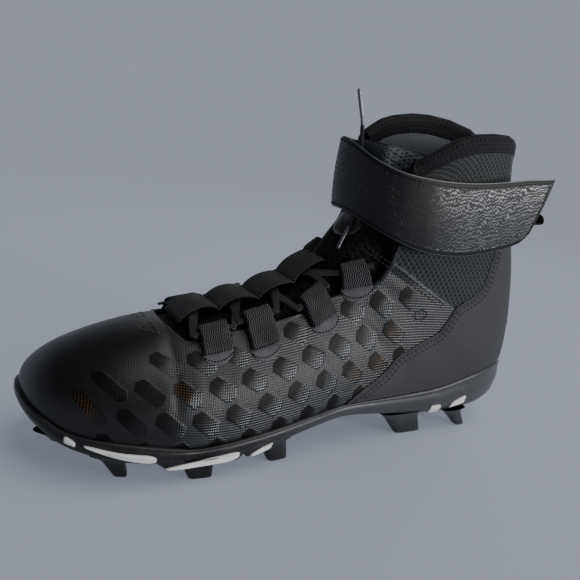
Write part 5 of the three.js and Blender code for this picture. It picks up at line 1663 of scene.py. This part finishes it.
def make_seams():
    dark = plain("seam_thread", (0.014, 0.0143, 0.0155), 0.6, grain=1500, depth=0.04)
    pale = plain("edge_thread", (0.06, 0.061, 0.064), 0.55, grain=1500, depth=0.04)
    black = plain("black_thread", (0.001, 0.001, 0.001), 0.7, grain=1500, depth=0.04, Specular_IOR_Level=0.1)
    total = arc(counter_line())[-1]
    paths = counter_seam(2.6, 0, total) + counter_seam(5.0, 0, total)
    stitches("counter_stitches", paths, 3.0, 2.2, 0.75, dark)
    paths = [path for place in PATCHES for path in patch_seam(place)]
    stitches("patch_stitches", paths, 1.6, 1.1, 0.75, black, height=0.1)
    # quarter's top edge, on the film
    paths = []
    for sign in (1, -1):
        for inset in (2.0, 4.4):
            v = np.linspace(0.285, 0.405, 60)
            row = 18.24 - 5.9 * (v - 0.274)
            u = row / ROWS
            u = u - inset / (per_row(u, v) * ROWS)
            vv = v if sign > 0 else 1 - v
            paths.append((on_last(u, vv, 0.5), last_normal(u, vv)))
    stitches("quarter_stitches", paths, 2.8, 2.0, 0.6, dark)
    # small triangles sewn in front of the throat, one on each side
    paths = []
    corners = np.array(((6.84, 0.470), (7.22, 0.488), (7.30, 0.446), (6.84, 0.470)))
    for start, end in zip(corners, corners[1:]):
        row, v = np.linspace(start, end, 30).T
        for sign in (1, -1):
            vv = v if sign > 0 else 1 - v
            u = row / ROWS
            paths.append((on_last(u, vv, relief(u, vv)), last_normal(u, vv)))
    # seam along the throat's front edge
    u = np.linspace(FRONT + 0.0015, 8.55 / ROWS, 60)
    v = 0.5 - throat_half(u) - 3.0 / per_v(u, np.full(u.shape, 0.44))
    for vv in (v, 1 - v):
        paths.append((on_last(u, vv, relief(u, vv)), last_normal(u, vv)))
    stitches("throat_stitches", paths, 1.6, 1.1, 0.6, pale, height=0.1)
    # double seam round the collar, just above the strap
    paths = []
    for inset in (-1.2, 1.2):
        v = np.linspace(0.32, 0.14, 80)
        row = np.interp(v, COLLAR_SEAM[0], COLLAR_SEAM[1])
        for sign in (1, -1):
            vv = v if sign > 0 else 1 - v
            u = (row + inset / per_row(row / ROWS, vv)) / ROWS
            paths.append((on_last(u, vv, relief(u, vv)), last_normal(u, vv)))
    stitches("collar_stitches", paths, 2.6, 1.8, 0.6, pale, height=0.12)
    # strap edges
    t = np.linspace(0.02, 0.985, 400)
    paths = []
    for share in (0.055, 0.945):
        line = strap_point(t, share, 1.0)
        inside = strap_point(t, share, 0.0)
        paths.append((line, unit(line - inside)))
    share = np.linspace(0.12, 0.9, 60)
    line = strap_point(0.984, share, 1.0)
    paths.append((line, unit(line - strap_point(0.984, share, 0.0))))
    stitches("strap_stitches", paths, 1.9, 1.2, 0.62, black, height=0.08)
    # keeper: rows of thread in its sewn valleys
    centres, sides, ups = KEEPER
    paths = []
    for k in (0, 48, 96, 144, 192):
        for shift in (-2, 2):
            n = int(np.clip(k + shift, 2, 190))
            across = np.linspace(-0.9, 0.9, 30)[:, None] * KEEPER_WIDTH / 2
            paths.append((centres[n] + sides[n] * across + ups[n] * WEB / 2, np.repeat(ups[n][None], 30, 0)))
    stitches("keeper_stitches", paths, 1.9, 1.3, 0.6, dark)


make_seams()


# ---------------------------------------------------------------- CAD nodes that stay
def finish_insole():
    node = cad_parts["insole"]
    cloth = plain("insole_cloth", (0.006, 0.006, 0.0065), 0.85, grain=900, depth=0.12)
    for slot in node.material_slots:
        slot.material = cloth


finish_insole()


# ---------------------------------------------------------------- studio
BACKDROP = (0.296, 0.323, 0.381)


def make_studio():
    size = 40.0
    mesh = bpy.data.meshes.new("floor")
    mesh.from_pydata([(-size, -size, 0), (size, -size, 0), (size, size, 0), (-size, size, 0)], [],
                     [(0, 1, 2, 3)])
    floor = bpy.data.objects.new("floor", mesh)
    bpy.context.scene.collection.objects.link(floor)
    p = Paint("pale_floor", roughness=0.7)
    # the floor fades with distance into the backdrop's colour, so that no horizon shows
    x, y, _ = p.parts(p.place())
    reach = p.math("SQRT", p.add(p.mul(x, x), p.mul(y, y)))
    fade = p.ramp(reach, 0.12, 1.0, 0.5, 1.0)
    near = p.mix(p.noise(3, 2), (0.49, 0.53, 0.64), (0.51, 0.55, 0.66))
    p.color(p.mix(fade, near, (0.0, 0.0, 0.0)))
    p.shader.inputs["Specular IOR Level"].default_value = 0.0
    p.shader.inputs["Emission Color"].default_value = (*BACKDROP, 1)
    p.put(p.shader.inputs["Emission Strength"], fade)
    mesh.materials.append(p.done())

    def softbox(name, place, toward, width, height, power, color=(1, 1, 1)):
        data = bpy.data.lights.new(name, "AREA")
        data.shape = "RECTANGLE"
        data.size, data.size_y = width, height
        data.energy, data.color = power, color
        light = bpy.data.objects.new(name, data)
        bpy.context.scene.collection.objects.link(light)
        back = unit(np.array(place, float) - np.array(toward, float))
        right = unit(np.cross([0, 0, 1.0], back))
        up = np.cross(back, right)
        matrix = np.eye(4)
        matrix[:3, :3] = np.stack([right, up, back], 1)
        matrix[:3, 3] = place
        light.matrix_world = Matrix(matrix.tolist())

    softbox("key", (-1.02, 1.36, 0.30), (0.0, 0.04, 0.07), 0.5, 0.5, 18)
    softbox("rim", (-1.2, -0.9, 0.25), (-0.1, 0.0, 0.12), 0.5, 0.4, 9)
    softbox("medial", (-0.6, -1.5, 0.8), (0.0, 0.0, 0.08), 0.8, 0.6, 2)
    data = bpy.data.lights.new("sun", "SUN")
    data.energy, data.angle = 1.5, math.radians(60)
    sun = bpy.data.objects.new("sun", data)
    bpy.context.scene.collection.objects.link(sun)
    back = unit(np.array([-0.35, 0.25, 0.85]))
    right = unit(np.cross([0, 0, 1.0], back))
    matrix = np.eye(4)
    matrix[:3, :3] = np.stack([right, np.cross(back, right), back], 1)
    sun.matrix_world = Matrix(matrix.tolist())
    # the sky is as bright as the floor at the horizon, and dim above
    world = bpy.data.worlds.new("studio")
    bpy.context.scene.world = world
    world.use_nodes = True
    tree = world.node_tree
    ground = tree.nodes.get("Background")
    where = tree.nodes.new("ShaderNodeTexCoord")
    parts = tree.nodes.new("ShaderNodeSeparateXYZ")
    ramp = tree.nodes.new("ShaderNodeMapRange")
    ramp.interpolation_type = "SMOOTHSTEP"
    for socket, value in zip(ramp.inputs[1:5], (0.18, 0.5, 1.0, 0.2)):
        socket.default_value = value
    tree.links.new(where.outputs["Generated"], parts.inputs[0])
    tree.links.new(parts.outputs[2], ramp.inputs[0])
    tree.links.new(ramp.outputs[0], ground.inputs[1])
    ground.inputs[0].default_value = (*BACKDROP, 1)


make_studio()
